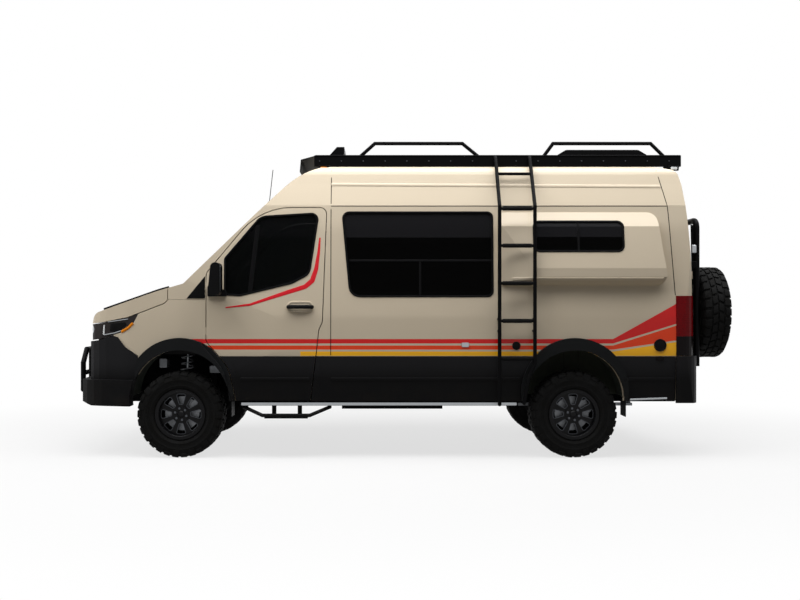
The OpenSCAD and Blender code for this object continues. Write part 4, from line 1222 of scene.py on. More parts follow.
# Columns: name, skin, side, along and up, width, height, material, slot
FLAT = [
    ("marker_left", side_skins["left"], "left", (1.058, 0.932), 0.112, 0.020, clear_lamp, "lamp_clear"),
    ("marker_right", side_skins["right"], "right", (1.058, 0.932), 0.112, 0.020, clear_lamp, "lamp_clear"),
    ("rear_marker_left", side_skins["left"], "left", (2.385, 0.925), 0.074, 0.036, red_lamp, "lamp_red"),
    ("rear_marker_right", side_skins["right"], "right", (2.385, 0.925), 0.074, 0.036, red_lamp, "lamp_red"),
    ("vent_box", side_skins["left"], "left", (0.585, 1.052), 0.070, 0.042, silver, "black_plastic"),
    ("reflector_left", rear_skin, "rear", (-0.800, 0.590), 0.160, 0.036, red_lamp, "lamp_red"),
    ("reflector_right", rear_skin, "rear", (0.800, 0.590), 0.160, 0.036, red_lamp, "lamp_red"),
    ("high_lamp", rear_skin, "rear", (0.0, 2.520), 0.420, 0.034, red_lamp, "lamp_red"),
]
for name, skin, side, spot, width, height, material, slot in FLAT:
    add_piece(patch(name, skin, side, block(*spot, width, height), 0.008, material), "van", slot)
print("fittings:", len(ROUND), "round and", len(FLAT), "flat")

# %% [markdown]
# The cladding has a long ridge at mid height, and a thin bright strip runs on behind the rear wheel.
# Both follow the skin, so each is a low strip laid along it by casting rays.

# %% Mouldings along the side
RIDGE_Z, RIDGE_W, RIDGE_H = 0.735, 0.030, 0.007
REAR_SILL, REAR_SILL_W, REAR_SILL_H = [(2.06, 0.541), (2.46, 0.556)], 0.016, 0.004
for side, sign in SIDES:
    body_side = side_skins[side]
    door = f"door_{side}"
    runs = [("ridge", "van", body_side, [(-0.66, 1.09), (2.06, 2.52)]),
            ("ridge_door", door, skin_of(door + "_cladding"), [(-1.50, -0.86)])]
    for name, body, skin, spans in runs:
        for count, ends in enumerate(spans):
            line = [(x, RIDGE_Z) for x in ends]
            made = strip(f"{name}_{side}_{count}", skin, side, line, RIDGE_W, RIDGE_H, cladding_painted_lighter_top,
                         step=0.06)
            add_piece(made, body, "black_plastic")
    sill = strip(f"sill_rear_{side}", body_side, side, REAR_SILL, REAR_SILL_W, REAR_SILL_H, silver,
                 step=0.06)
    add_piece(sill, "van", "black_plastic")
print("side mouldings ready")

# %% [markdown]
# The body panels are pressed and joined. Thin dark lines mark the joints of roof, cab, side and tail,
# and a soft crease runs along the roof's flank. A small black triangle fills the corner ahead of each
# door.

# %% Panel joints and creases
JOINT_W = 0.007
JOINT_H = 0.0012
ROOF_JOINT_Z = 2.345
B_PILLAR_X = -0.662
POD_LIP, POD_LIP_W, POD_LIP_H = [(1.02, 1.664), (1.30, 1.664), (2.405, 1.664)], 0.026, 0.008
SAIL, SAIL_H = [(-2.001, 1.482), (-1.830, 1.482), (-1.830, 1.690)], 0.006
flank_skins = {"left": skin_of("roof", "cab_frame", "side_left", "rear_frame"),
               "right": skin_of("roof", "cab_frame", "side_right", "sliding_door", "rear_frame")}
# Columns: name, points as distance along and height, width, height, material
JOINTS = [
    ("roof", [(B_PILLAR_X, ROOF_JOINT_Z), (2.478, ROOF_JOINT_Z)], JOINT_W, JOINT_H, gasket_rubber),
    ("pillar", [(B_PILLAR_X, 0.955), (B_PILLAR_X, 2.690)], JOINT_W, JOINT_H, gasket_rubber),
    ("tail", [(2.535, 1.512), (2.479, 2.345), (2.405, 2.690)], JOINT_W, JOINT_H, gasket_rubber),
    ("crease", [(B_PILLAR_X, 2.555), (2.43, 2.535)], 0.030, 0.004, paint),
]
for side, sign in SIDES:
    for name, points, width, height, material in JOINTS:
        made = strip(f"joint_{name}_{side}", flank_skins[side], side, points, width, height, material,
                     step=0.08)
        add_piece(made, "van", "paint")
    lip = strip(f"pod_lip_{side}", skin_of("side_pods"), side, POD_LIP, POD_LIP_W, POD_LIP_H, paint,
                step=0.08)
    add_piece(lip, "van", "paint")
    sail = patch(f"sail_{side}", skin_of("cab_frame", "fenders"), side, SAIL, SAIL_H, trim_black)
    add_piece(sail, "van", "black_plastic")
print("joints:", len(JOINTS), "on each side")

# %% [markdown]
# On the roof: bolts along the deep rack rails, lamps at both ends, a whip antenna, and ribs on the
# roof unit. The ladder's rungs get ribbed sleeves.

# %% Rack bolts, edges and lamps
RAIL_Y = 0.760
BOLT_R, BOLTS, BOLT_PITCH = 0.006, 17, 0.208
RAIL_ENDS, BEAD_Z, BEAD_D = (-0.82, 2.655), 2.842, 0.014
RACK_LAMPS = (("front", -0.740, amber_lamp), ("rear", 2.590, clear_lamp))
for side, sign in SIDES:
    bolt = prism(f"rack_bolts_{side}", [p * BOLT_R for p in HEXAGON], -0.004, 0.006, rim_edge, "y", 0.001)
    bolt.data.transform(Matrix.Scale(sign, 4, (0, 1, 0)))
    bolt.data.transform(Matrix.Translation((-0.78, sign * RAIL_Y, 2.792)))
    soften(repeat(bolt, row_tree, Count=BOLTS, Pitch=(BOLT_PITCH, 0.0, 0.0)), 30.0)
    add_piece(bolt, "van", "black_steel")
    ends = [(x, sign * RAIL_Y, BEAD_Z) for x in RAIL_ENDS]
    bead = tube(f"rack_edge_{side}", ends, BEAD_D, black_coat, 12)
    add_piece(bead, "van", "black_steel")
    for name, x, material in RACK_LAMPS:
        outline = [(x - 0.045, 2.700), (x + 0.045, 2.700), (x + 0.050, 2.748), (x - 0.050, 2.748)]
        housing = prism(f"rack_lamp_{name}_{side}_box", [Vector(p) for p in outline], sign * RAIL_Y - 0.020,
                        sign * RAIL_Y + 0.020, trim_black, "y", 0.004)
        face = prism(f"rack_lamp_{name}_{side}_face", block(x, 2.720, 0.060, 0.026, 0.008),
                     sign * (RAIL_Y + 0.012) - 0.012, sign * (RAIL_Y + 0.012) + 0.012, material, "y", 0.003)
        add_piece(join(f"rack_lamp_{name}_{side}", [housing, face]), "van", "black_plastic")
print("rack with", BOLTS, "bolts and", len(RACK_LAMPS), "lamps a side")

# %% Antenna
MAST_D, MAST_LEAN = 0.007, Vector((0.038, 0.0, 0.340))
ANTENNA_BASE = [(0.0, -0.004), (0.024, -0.004), (0.022, 0.008), (0.012, 0.030), (0.0, 0.036)]
cab_skin = skin_of("roof", "cab_frame")
foot, _ = on_skin(cab_skin, "top", -1.279, -0.600)
mast = tube("antenna_mast", [foot, foot + MAST_LEAN], MAST_D, trim_black, 10)
base = revolve("antenna_base", ANTENNA_BASE, 24, trim_black)
base.data.transform(Matrix.Translation(foot) @ UPRIGHT)
add_piece(join("antenna", [mast, base]), "van", "black_plastic")
print("antenna", round(MAST_LEAN.length, 2), "metres long")

# %% Ladder sleeves and roof unit
SLEEVE = [(0.0165, -0.004), (0.0190, -0.004), (0.0205, 0.0), (0.0190, 0.004), (0.0165, 0.004)]
SLEEVE_RINGS, SLEEVE_PITCH = 26, 0.0102
SLEEVE_X, SLEEVE_Y = 0.925, -1.110
ALONG_X = Matrix.Rotation(math.radians(90.0), 4, "Z")
UNIT_RIBS, UNIT_PITCH = 12, 0.045
RUNG_Z = [0.930, 1.275, 1.620, 1.965, 2.305]
for count, height in enumerate(RUNG_Z):
    ring = revolve(f"rung_grip_{count + 1}", SLEEVE, 20, rubber)
    ring.data.transform(Matrix.Translation((SLEEVE_X, SLEEVE_Y, height)) @ ALONG_X)
    soften(repeat(ring, row_tree, Count=SLEEVE_RINGS, Pitch=(SLEEVE_PITCH, 0.0, 0.0)), 30.0)
    add_piece(ring, "van", "black_steel")
unit_low, unit_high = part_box("roof_unit")
rib = prism("roof_unit_ribs", block(0.0, 0.0, 0.012, 0.010, 0.002), -0.30, 0.30, trim_black, "y", 0.003)
rib.data.transform(Matrix.Translation((unit_low[0] + 0.20, 0.0, unit_high[2] + 0.002)))
soften(repeat(rib, row_tree, Count=UNIT_RIBS, Pitch=(UNIT_PITCH, 0.0, 0.0)), 30.0)
add_piece(rib, "van", "black_plastic")
print("sleeves on", len(RUNG_Z), "rungs, and", UNIT_RIBS, "ribs on the roof unit")

# %% [markdown]
# At the front are the wiper arms. The steps get grip ridges and the sills their bright face. At the
# rear are hinges, a handle and a plate with nothing on it.

# %% Wipers
BLADES = [((-0.62, 1.655), (-0.10, 1.735)), ((0.06, 1.655), (0.58, 1.735))]
screen_skin = skin_of("windscreen", "cab_frame")
for count, (start, end) in enumerate(BLADES):
    blade = strip(f"wiper_{count}_blade", screen_skin, "front", [start, end], 0.012, 0.016, gasket_rubber,
                  step=0.04)
    arm_points = [(start[0], 1.628), (start[0] + 0.10, 1.660), ((start[0] + end[0]) / 2, 1.700)]
    arm = strip(f"wiper_{count}_arm", screen_skin, "front", arm_points, 0.016, 0.024, trim_black, step=0.03)
    add_piece(join(f"wiper_{count + 1}", [blade, arm]), "van", "black_plastic")
print("wipers:", len(BLADES))

# %% Steps, sills and hinges
GRIPS, GRIP_PITCH, GRIP_START = 18, 0.0215, -1.255
STEP_Y, STEP_TOP = 0.985, 0.3935
SILL_Y, SILL_HALF, SILL_MIDDLE = 0.983, 0.003, -0.215
HINGE_Z, HINGE_Y, HINGE_H = (1.060, 1.560, 2.060), 0.845, 0.016
for side, sign in SIDES:
    ridge = prism(f"step_grip_{side}", block(0.0, 0.0, 0.010, 0.008, 0.002), -0.050, 0.050, rubber, "y",
                  0.002)
    ridge.data.transform(Matrix.Translation((GRIP_START, sign * STEP_Y, STEP_TOP)))
    soften(repeat(ridge, row_tree, Count=GRIPS, Pitch=(GRIP_PITCH, 0.0, 0.0)), 30.0)
    add_piece(ridge, "van", "black_steel")
    face = prism(f"sill_face_{side}", block(0.0, 0.501, 2.560, 0.026, 0.006), sign * SILL_Y - SILL_HALF,
                 sign * SILL_Y + SILL_HALF, silver, "y", 0.0015)
    face.data.transform(Matrix.Translation((SILL_MIDDLE, 0.0, 0.0)))
    add_piece(face, "van", "chassis")
    body = f"rear_door_{side}"
    skin = skin_of(body)
    for count, height in enumerate(HINGE_Z):
        outline = block(sign * HINGE_Y, height, 0.075, 0.105, 0.014)
        hinge = patch(f"rear_hinge_{side}_{count}", skin, "rear", outline, HINGE_H, trim_black, 0.02)
        add_piece(hinge, body, "black_plastic")
print(GRIPS, "grips on each step,", len(HINGE_Z), "hinges on each rear door")

# %% Blank plate and rear handle
PULL_Y, PULL_Z, PULL_D = 0.090, 1.240, 0.022
PULL_SHAPE = [(0.002, -0.085), (0.030, -0.070), (0.036, 0.0), (0.030, 0.070), (0.002, 0.085)]
rear_right = skin_of("rear_door_right")
plate = patch("rear_plate", rear_right, "rear", block(0.440, 1.120, 0.520, 0.112, 0.012), 0.006,
              blank_plate, 0.02)
add_piece(plate, "rear_door_right", "black_plastic")
outline = block(PULL_Y, PULL_Z, 0.060, 0.200, 0.018)
pull = patch("rear_handle_base", rear_right, "rear", outline, 0.006, trim_black, 0.02)
spot, normal = on_skin(rear_right, "rear", PULL_Y, PULL_Z)
points = [spot + normal * out + Vector((0, 0, up)) for out, up in PULL_SHAPE]
grip = tube("rear_handle_grip", points, PULL_D, trim_black, 14, 0.010)
add_piece(join("rear_handle", [pull, grip]), "rear_door_right", "black_plastic")
print("plate and handle on the right rear door")

# %% [markdown]
# The hood carries a raised black panel, seen from the side as a dark line along its top. A grid is laid
# on the hood by casting rays from above, lifted in the middle, and given a thickness.

# %% Hood panel
PANEL_X = (-2.830, -2.270)
PANEL_Y = 0.620
PANEL_RISE, PANEL_T, PANEL_LIFT = 0.034, 0.004, 0.001
END_SLOPE = 6.0
hood_skin = skin_of("hood")
panel_verts, panel_faces, columns, rows = [], [], 24, 32
for i in range(columns + 1):
    for j in range(rows + 1):
        x = PANEL_X[0] + (PANEL_X[1] - PANEL_X[0]) * i / columns
        y = PANEL_Y * (2 * j / rows - 1)
        place, normal = on_skin(hood_skin, "top", x, y)
        edge = min(1.0, END_SLOPE * min(i, columns - i) / columns) * (1 - (y / PANEL_Y) ** 4)
        panel_verts.append(place + Vector((0, 0, PANEL_RISE * edge + PANEL_LIFT)))
for i in range(columns):
    for j in range(rows):
        a = i * (rows + 1) + j
        panel_faces.append((a, a + rows + 1, a + rows + 2, a + 1))
panel = mesh_object("hood_panel", panel_verts, panel_faces, trim_black, 60.0)
thick = panel.modifiers.new("thickness", "SOLIDIFY")
thick.thickness, thick.offset = PANEL_T, -1.0
graph = bpy.context.evaluated_depsgraph_get()
panel.data = bpy.data.meshes.new_from_object(panel.evaluated_get(graph))
panel.modifiers.clear()
soften(panel, 40.0)
add_piece(panel, "hood", "black_plastic")
print("hood panel:", len(panel.data.polygons), "faces")

# %% Seals beside the hood panel and along the windscreen
HOOD_SEAL = [(-2.845, 0.700), (-2.500, 0.725), (-2.215, 0.735)]
HOOD_SEAL_W, HOOD_SEAL_H = 0.026, 0.026
SEAL_ENDS = ((0.0, 0.1, 0.9, 1.0), (0.5, 1.0, 1.0, 0.5))
for side, sign in SIDES:
    line = [(x, sign * y) for x, y in HOOD_SEAL]
    seal = strip(f"hood_edge_{side}", hood_skin, "top", line, HOOD_SEAL_W, HOOD_SEAL_H, trim_black,
                 step=0.03, taper=SEAL_ENDS)
    add_piece(seal, "hood", "black_plastic")
SCREEN_SEAL = [(0.800, 1.670), (0.720, 2.230)]
SCREEN_SEAL_W, SCREEN_SEAL_H = 0.030, 0.022
for side, sign in SIDES:
    line = [(sign * y, z) for y, z in SCREEN_SEAL]
    seal = strip(f"screen_edge_{side}", screen_skin, "front", line, SCREEN_SEAL_W, SCREEN_SEAL_H,
                 gasket_rubber, step=0.04)
    add_piece(seal, "van", "black_plastic")
print("four seals ready")

# %% Lock carrier behind the grille
LOCK_BACK, LOCK_HALF = -2.690, 0.006
LOCK_REACH, LOCK_INSET = 0.03, 0.004
LOCK_Z, LOCK_LEVELS = (1.085, 1.230), 18
lock_skin = skin_of("grille", "front_bumper", "hood")
hits = [(on_skin(lock_skin, "front", 0.0, z), z) for z in np.linspace(*LOCK_Z, LOCK_LEVELS)]
faces_x = [(hit[0].x, z) for hit, z in hits if hit is not None]
edge = [(min(x for x, up in faces_x if abs(up - z) < LOCK_REACH) + LOCK_INSET, z) for _, z in faces_x]
outline = [Vector(p) for p in edge + [(LOCK_BACK, edge[-1][1]), (LOCK_BACK, edge[0][1])]]
add_piece(prism("lock_carrier", outline, -LOCK_HALF, LOCK_HALF, trim_black, "y"), "van", "black_plastic")
print("lock carrier with", len(outline), "corners")

# %% [markdown]
# Under the arches sits what a low camera sees: brake shields with calipers, dampers with coil springs,
# brackets, and an exhaust. Shields are turned profiles, calipers are pushed-out outlines, and a coil is a
# tube along a helix.

# %% Brakes
SHIELD = [(0.050, -0.002), (0.120, -0.002), (0.150, 0.004), (0.196, 0.004), (0.198, 0.010), (0.196, 0.0125),
          (0.148, 0.0125), (0.118, 0.003), (0.050, 0.003)]
CALIPER = rounded_outline([(0.105, -0.055, 0.02), (0.178, -0.075, 0.02), (0.184, 0.0, 0.05),
                           (0.178, 0.075, 0.02), (0.105, 0.055, 0.02), (0.118, 0.0, 0.04)])
CALIPER_TURN, CALIPER_T = 0.45, 0.0385
# Columns: end, x of the axle, distance of shield and caliper from the middle plane, body on each side
BRAKES = [("front", front_x, 0.8430, 0.834, ("knuckle_left", "knuckle_right")),
          ("rear", rear_x, 0.8225, 0.822, ("van", "van"))]
for end, x, shield_y, caliper_y, bodies in BRAKES:
    for (side, sign), body in zip(SIDES, bodies):
        shield = revolve(f"shield_{end}_{side}", SHIELD, 72, undercoat)
        caliper = prism(f"caliper_{end}_{side}", CALIPER, 0.0, CALIPER_T, cast_iron, "y", 0.006)
        caliper.data.transform(Matrix.Rotation(-CALIPER_TURN, 4, "Y"))
        for part, away in ((shield, shield_y), (caliper, caliper_y)):
            place = Matrix.Translation((x, sign * away, axle_z))
            part.data.transform(place @ Matrix.Scale(sign, 4, (0, 1, 0)))
        brake = join(f"brake_{end}_{side}", [shield, caliper])
        soften(brake, 30.0)
        add_piece(brake, body, "chassis")
print("brakes on", len(BRAKES), "axles")

# %% Springs, dampers and brackets
COIL_TURNS, COIL_R, COIL_D = 6, 0.058, 0.014
COIL_STEPS = 20
DAMPER_D, ROD_D, REAR_DAMPER_D = 0.050, 0.022, 0.046
# Shares of the way from a spring's foot to its head
DAMPER_END, ROD_START, SEAT_AT, COIL_START, COIL_SPAN = 0.55, 0.5, 0.24, 0.25, 0.7
SPRING_SEAT = [(0.020, -0.004), (0.074, -0.004), (0.078, 0.004), (0.020, 0.006)]
BRACKET_Y = (0.506, 0.620)
# Columns: middle in x and z, width, height
BRACKETS = [(-1.800, 0.800, 0.110, 0.070), (-2.300, 0.860, 0.080, 0.090)]
RIB_X, RIB_Y = (1.450, 1.590, 1.730), (0.598, 0.618)
for side, sign in SIDES:
    foot = Vector((front_x - 0.02, sign * 0.600, 0.524))
    head = Vector((front_x, sign * 0.565, 1.020))
    damper = tube(f"damper_{side}", [foot, foot.lerp(head, DAMPER_END)], DAMPER_D, undercoat, 20)
    rod = tube(f"damper_rod_{side}", [foot.lerp(head, ROD_START), head], ROD_D, silver, 16)
    count = COIL_TURNS * COIL_STEPS
    turns = [k * math.pi / (COIL_STEPS // 2) for k in range(count + 1)]
    helix = []
    for k, turn in enumerate(turns):
        middle = foot.lerp(head, COIL_START + COIL_SPAN * k / count)
        helix.append(middle + Vector((math.cos(turn), math.sin(turn), 0)) * COIL_R)
    coil = tube(f"coil_{side}", helix, COIL_D, cast_iron, 8)
    seat = revolve(f"spring_seat_{side}", SPRING_SEAT, 32, undercoat)
    seat.data.transform(Matrix.Translation(foot.lerp(head, SEAT_AT)) @ UPRIGHT)
    low, high = sorted(sign * y for y in BRACKET_Y)
    brackets = [prism(f"arch_bracket_{side}_{number}", block(x, z, width, height, 0.012), low, high,
                      cast_iron, "y", 0.006) for number, (x, z, width, height) in enumerate(BRACKETS)]
    add_piece(join(f"suspension_{side}", [damper, rod, coil, seat] + brackets), "van", "chassis")
    low, high = sorted(sign * y for y in RIB_Y)
    ribs = [prism(f"house_rib_{side}_{number}", block(x, 0.860, 0.034, 0.250, 0.012), low, high, liner_grey,
                  "y", 0.008) for number, x in enumerate(RIB_X)]
    add_piece(join(f"house_ribs_{side}", ribs), "van", "chassis")
    ends = [(rear_x + 0.12, sign * 0.600, 0.400), (rear_x + 0.22, sign * 0.560, 0.560)]
    add_piece(tube(f"rear_damper_{side}", ends, REAR_DAMPER_D, undercoat, 18), "van", "chassis")
print("coils of", COIL_TURNS, "turns, and", len(BRACKETS), "brackets a side")

# %% Exhaust
PIPE_D, PIPE_Z, HUMP_Z = 0.056, 0.430, 0.507
PIPE = [(-1.02, 0.250, PIPE_Z), (1.20, 0.250, PIPE_Z), (1.42, 0.250, HUMP_Z), (1.78, 0.250, HUMP_Z),
        (2.00, 0.250, PIPE_Z), (2.30, 0.480, PIPE_Z), (2.62, 0.560, PIPE_Z)]
BARREL = rounded_outline([(0.150, 0.370, 0.06), (0.350, 0.370, 0.06), (0.350, 0.492, 0.06),
                          (0.150, 0.492, 0.06)])
pipe = tube("exhaust_pipe", PIPE, PIPE_D, cast_iron, 18, 0.05)
barrel = prism("exhaust_barrel", BARREL, 0.10, 0.72, cast_iron, "x", 0.02)
add_piece(join("exhaust", [pipe, barrel]), "van", "chassis")
print("exhaust along", len(PIPE), "points")

# %% [markdown]
# The spare hangs on a tube frame with rounded shoulders on the left rear door, with flat gussets and a
# latch. The frame stands for its plain solid. The mirrors get their glass.

# %% Carrier
CARRIER_X = rear_face_x + 0.070
CARRIER_Y = (-0.800, -0.110)
CARRIER_LOW, CARRIER_TOP = 0.842, 2.224
LOOP_D, CROSS_D, SHOULDER_R = 0.058, 0.048, 0.09
SPARE_Y, SPARE_Z = -0.449, 1.350
GUSSET_HALF = 0.005
CROSS_Z, FOOT_Z, FOOT_W = (0.900, SPARE_Z, 1.800), (0.900, 1.800), 0.070
BOSS = [(0.0, 0.0), (0.065, 0.0), (0.065, 0.195), (0.058, 0.205), (0.0, 0.205)]
left_y, right_y = CARRIER_Y
corners = [(CARRIER_X, left_y, CARRIER_LOW), (CARRIER_X, left_y, CARRIER_TOP),
           (CARRIER_X, right_y, CARRIER_TOP), (CARRIER_X, right_y, CARRIER_LOW)]
parts = [tube("carrier_loop", corners, LOOP_D, black_coat, 24, SHOULDER_R)]
for count, z in enumerate(CROSS_Z):
    ends = [(CARRIER_X, left_y, z), (CARRIER_X, right_y, z)]
    parts.append(tube(f"carrier_cross_{count}", ends, CROSS_D, black_coat, 20))
left_rear_skin = skin_of("rear_door_left")
gusset = [(CARRIER_X - 0.045, 1.700), (CARRIER_X, 1.700), (CARRIER_X, 2.180), (CARRIER_X - 0.055, 2.180)]
for y in CARRIER_Y:
    for z in FOOT_Z:
        start, _ = on_skin(left_rear_skin, "rear", y, z)
        parts.append(prism(f"carrier_foot_{y}_{z}", block(y, z, FOOT_W, FOOT_W, 0.010), start.x - 0.004,
                           CARRIER_X - 0.005, black_coat, "x", 0.004))
    parts.append(prism(f"carrier_gusset_{y}", [Vector(p) for p in gusset], y - GUSSET_HALF,
                       y + GUSSET_HALF, black_coat, "y", 0.002))
boss = revolve("carrier_boss", BOSS, 40, black_coat)
boss_place = Matrix.Translation((CARRIER_X - 0.020, SPARE_Y, SPARE_Z))
boss.data.transform(boss_place @ Matrix.Rotation(math.radians(-90.0), 4, "Z"))
latch = prism("carrier_latch", block(CARRIER_X - 0.032, 1.950, 0.044, 0.075, 0.010), left_y - 0.040,
              left_y - 0.004, silver, "y", 0.005)
carrier = join("carrier_frame", parts + [boss, latch])
add_piece(carrier, "rear_door_left", "black_steel", "tyre_carrier")
print("carrier:", len(carrier.data.polygons), "faces")

# %% Mirror glass
mirror_glass = bare_metal("mirror_glass", rgb("AEB4B8"), 0.05, (1.0, 1.0, 1.0))
for side, sign in SIDES:
    outline = block(sign * 1.178, 1.662, 0.112, 0.225, 0.022)
    glass = patch(f"mirror_glass_{side}", skin_of(f"mirror_{side}"), "rear", outline, 0.003, mirror_glass,
                  0.02)
    add_piece(glass, f"door_{side}", "glass")
print("mirror glass on both sides")

# %% [markdown]
# Open doors and an open hood show what is behind the skin. A lining follows the inside of the skin by
# casting rays outwards from the middle plane. Behind the engine stands a ribbed firewall, and a slotted
# cowl panel closes the gap below the windscreen. The engine gets its cover.

# %% Linings
LINING_GAP, LINING_T = 0.002, 0.003
LINING_COLUMNS, LINING_ROWS = 28, 8
LINING_Y = 0.95
lining_grey = moulded_plastic("lining_grey", rgb("3E3C38"), rgb("4E4A42"), 0.55)


def lining(name, skin, sign, low, top, material):
    """A thin panel inside the skin, between the lines low and top, each given as x values and z values."""
    columns, rows, verts, faces, last = LINING_COLUMNS, LINING_ROWS, [], [], sign * LINING_Y
    start, end = top[0][0], top[0][-1]
    for i in range(columns + 1):
        x = start + (end - start) * i / columns
        foot, high = np.interp(x, *low), np.interp(x, *top)
        for j in range(rows + 1):
            z = foot + (high - foot) * j / rows
            hit = skin.ray_cast(Vector((x, 0, z)), Vector((0, sign, 0)))[0]
            last = last if hit is None else hit.y
            verts.append((x, last - sign * LINING_GAP, z))
    for i in range(columns):
        for j in range(rows):
            a = i * (rows + 1) + j
            faces.append((a, a + 1, a + rows + 2, a + rows + 1))
    behind = len(verts)
    verts += [(x, y - sign * LINING_T, z) for x, y, z in verts]
    rim = list(range(rows + 1))
    rim += [i * (rows + 1) + rows for i in range(1, columns + 1)]
    rim += [columns * (rows + 1) + j for j in range(rows - 1, -1, -1)]
    rim += [i * (rows + 1) for i in range(columns - 1, 0, -1)]
    faces += [tuple(behind + k for k in reversed(face)) for face in faces]
    faces += [(a, b, behind + b, behind + a) for a, b in zip(rim, rim[1:] + rim[:1])]
    return mesh_object(name, verts, faces, material)


BAY_LOW, BAY_TOP = ((-2.52, -1.87), (0.96, 0.96)), ((-2.52, -1.87), (1.22, 1.40))
CARGO_LOW = ((-0.55, 1.00, 1.05, 2.15, 2.20, 2.60), (0.72, 0.72, 1.02, 1.02, 0.72, 0.72))
CARGO_TOP = ((-0.55, 2.60), (1.46, 1.46))
DOOR_LOW, DOOR_TOP = ((-1.46, -0.85), (0.66, 0.62)), ((-1.47, -0.85), (1.40, 1.50))
CARGO_WALLS = {"left": ("side_left",), "right": ("side_right", "sliding_door")}
for side, sign in SIDES:
    bay = lining(f"bay_lining_{side}", skin_of("fenders"), sign, BAY_LOW, BAY_TOP, trim_black)
    add_piece(bay, "van", "black_plastic")
    cargo = lining(f"cargo_lining_{side}", skin_of(*CARGO_WALLS[side]), sign, CARGO_LOW, CARGO_TOP,
                   lining_grey)
    add_piece(cargo, "van", "black_plastic")
    door = lining(f"door_lining_{side}", skin_of(f"door_{side}"), sign, DOOR_LOW, DOOR_TOP, lining_grey)
    add_piece(door, f"door_{side}", "black_plastic")
print("three linings a side, each of", LINING_COLUMNS, "columns")

# %% Cowl panel
COWL = [(-1.860, 1.452), (-1.860, 1.468), (-2.165, 1.562), (-2.165, 1.546)]
COWL_Y = 0.860
SLOTS, SLOT_PITCH, SLOT_START = 20, 0.080, -0.760
cowl = prism("cowl_plate", [Vector(p) for p in COWL], -COWL_Y, COWL_Y, trim_black, "y", 0.002)
slot = prism("cowl_slot", block(-2.000, 1.514, 0.060, 0.014, 0.004), -0.010, 0.010, cab_plastic, "y", 0.003)
slot.data.transform(Matrix.Translation((0.0, SLOT_START, 0.0)))
soften(repeat(slot, row_tree, Count=SLOTS, Pitch=(0.0, SLOT_PITCH, 0.0)), 30.0)
add_piece(join("cowl_panel", [cowl, slot]), "van", "black_plastic")
print("cowl panel with", SLOTS, "slots")

# %% Firewall
WALL_X, WALL_T = front_x + 0.203, 0.010
WALL = [(-0.450, 0.620), (0.450, 0.620), (0.450, 1.000), (0.880, 1.000), (0.880, 1.255), (-0.880, 1.255),
        (-0.880, 1.000), (-0.450, 1.000)]
WALL_RIBS, RIB_PITCH, RIB_START, RIB_Z = 11, 0.160, -0.800, 1.127
wall = prism("firewall", [Vector(p) for p in WALL], WALL_X, WALL_X + WALL_T, undercoat, "x", 0.002)
rib = prism("firewall_rib", block(0.0, 0.0, 0.030, 0.200, 0.014), WALL_X - 0.008, WALL_X + 0.002, undercoat,
            "x", 0.004)
rib.data.transform(Matrix.Translation((0.0, RIB_START, RIB_Z)))
soften(repeat(rib, row_tree, Count=WALL_RIBS, Pitch=(0.0, RIB_PITCH, 0.0)), 30.0)
add_piece(join("firewall", [wall, rib]), "van", "chassis")
print("firewall with", WALL_RIBS, "ribs")

# %% Engine cover
COVER_X, COVER_Z = front_x - 0.200, 1.130
RIDGES, RIDGE_PITCH, RIDGE_START = 6, 0.040, -0.100
CAP = [(0.0, 0.0), (0.030, 0.0), (0.030, 0.016), (0.024, 0.022), (0.0, 0.022)]
cover = prism("engine_cover_plate", block(COVER_X, 0.0, 0.680, 0.330, 0.050), COVER_Z - 0.004,
              COVER_Z + 0.034, trim_black, "z", 0.012)
ridge = prism("engine_cover_ridge", block(COVER_X, 0.0, 0.520, 0.016, 0.007), COVER_Z + 0.030,
              COVER_Z + 0.042, trim_black, "z", 0.004)
ridge.data.transform(Matrix.Translation((0.0, RIDGE_START, 0.0)))
soften(repeat(ridge, row_tree, Count=RIDGES, Pitch=(0.0, RIDGE_PITCH, 0.0)), 30.0)
cap = revolve("engine_cap", CAP, 32, silver)
cap.data.transform(Matrix.Translation((COVER_X - 0.290, 0.0, COVER_Z + 0.032)) @ UPRIGHT)
engine_cover = join("engine_cover", [cover, ridge, cap])
soften(engine_cover, 30.0)
add_piece(engine_cover, "van", "black_plastic")
print("engine cover with", RIDGES, "ridges")

# %% [markdown]
# The two cab seats are padded. Each cushion starts as a slightly small rounded block, is remeshed, and
# is blown up by a short cloth simulation with a cap on how far a point may move. Piping then follows
# the swollen edge. One seat is simulated, and its pads are reused for the other side.

# %% Seat fabric
def seat_finish():
    finish = Finish("woven_seat_fabric", specular_ior_level=0.08, sheen_weight=0.25, sheen_roughness=0.5)
    _, x, y, z = finish.place()
    warp = abs((x + z).remainder(0.0044) - 0.0022) * 450.0
    weft = abs(y.remainder(0.0044) - 0.0022) * 450.0
    weave = warp.most(weft)
    slub = finish.noise(220.0, 3.0)
    tone = finish.blend(weave * 0.6, rgb("19181A"), rgb("2F2D2C"))
    tone = finish.blend(finish.ramp(slub, 0.55, 0.8) * 0.4, tone, rgb("4A4643"))
    return finish.feed(base_color=tone, roughness=slub * 0.1 + 0.78,
                       normal=finish.bump(weave, 0.0006, 0.5)).material


seat_cloth = seat_finish()
print("seat fabric ready")

# %% Seat pad makers
SEAT_Y = 0.420
PAD_GAP = 0.012
VOXEL = 0.006
PRESSURE = 4.0
SWELL = 0.024
FRAMES = 20
# Columns: name, half width, corners as distance behind the front axle, height and radius in millimetres
PADS = [
    ("seat_pad", 0.245, [(700, 906, 26), (1182, 906, 26), (1200, 962, 26), (694, 1022, 40)]),
    ("back_pad", 0.235, [(1196, 960, 30), (1292, 960, 40), (1422, 1552, 36), (1318, 1552, 36)]),
    ("head_pad", 0.130, [(1342, 1588, 34), (1432, 1588, 34), (1444, 1752, 34), (1364, 1752, 34)]),
]


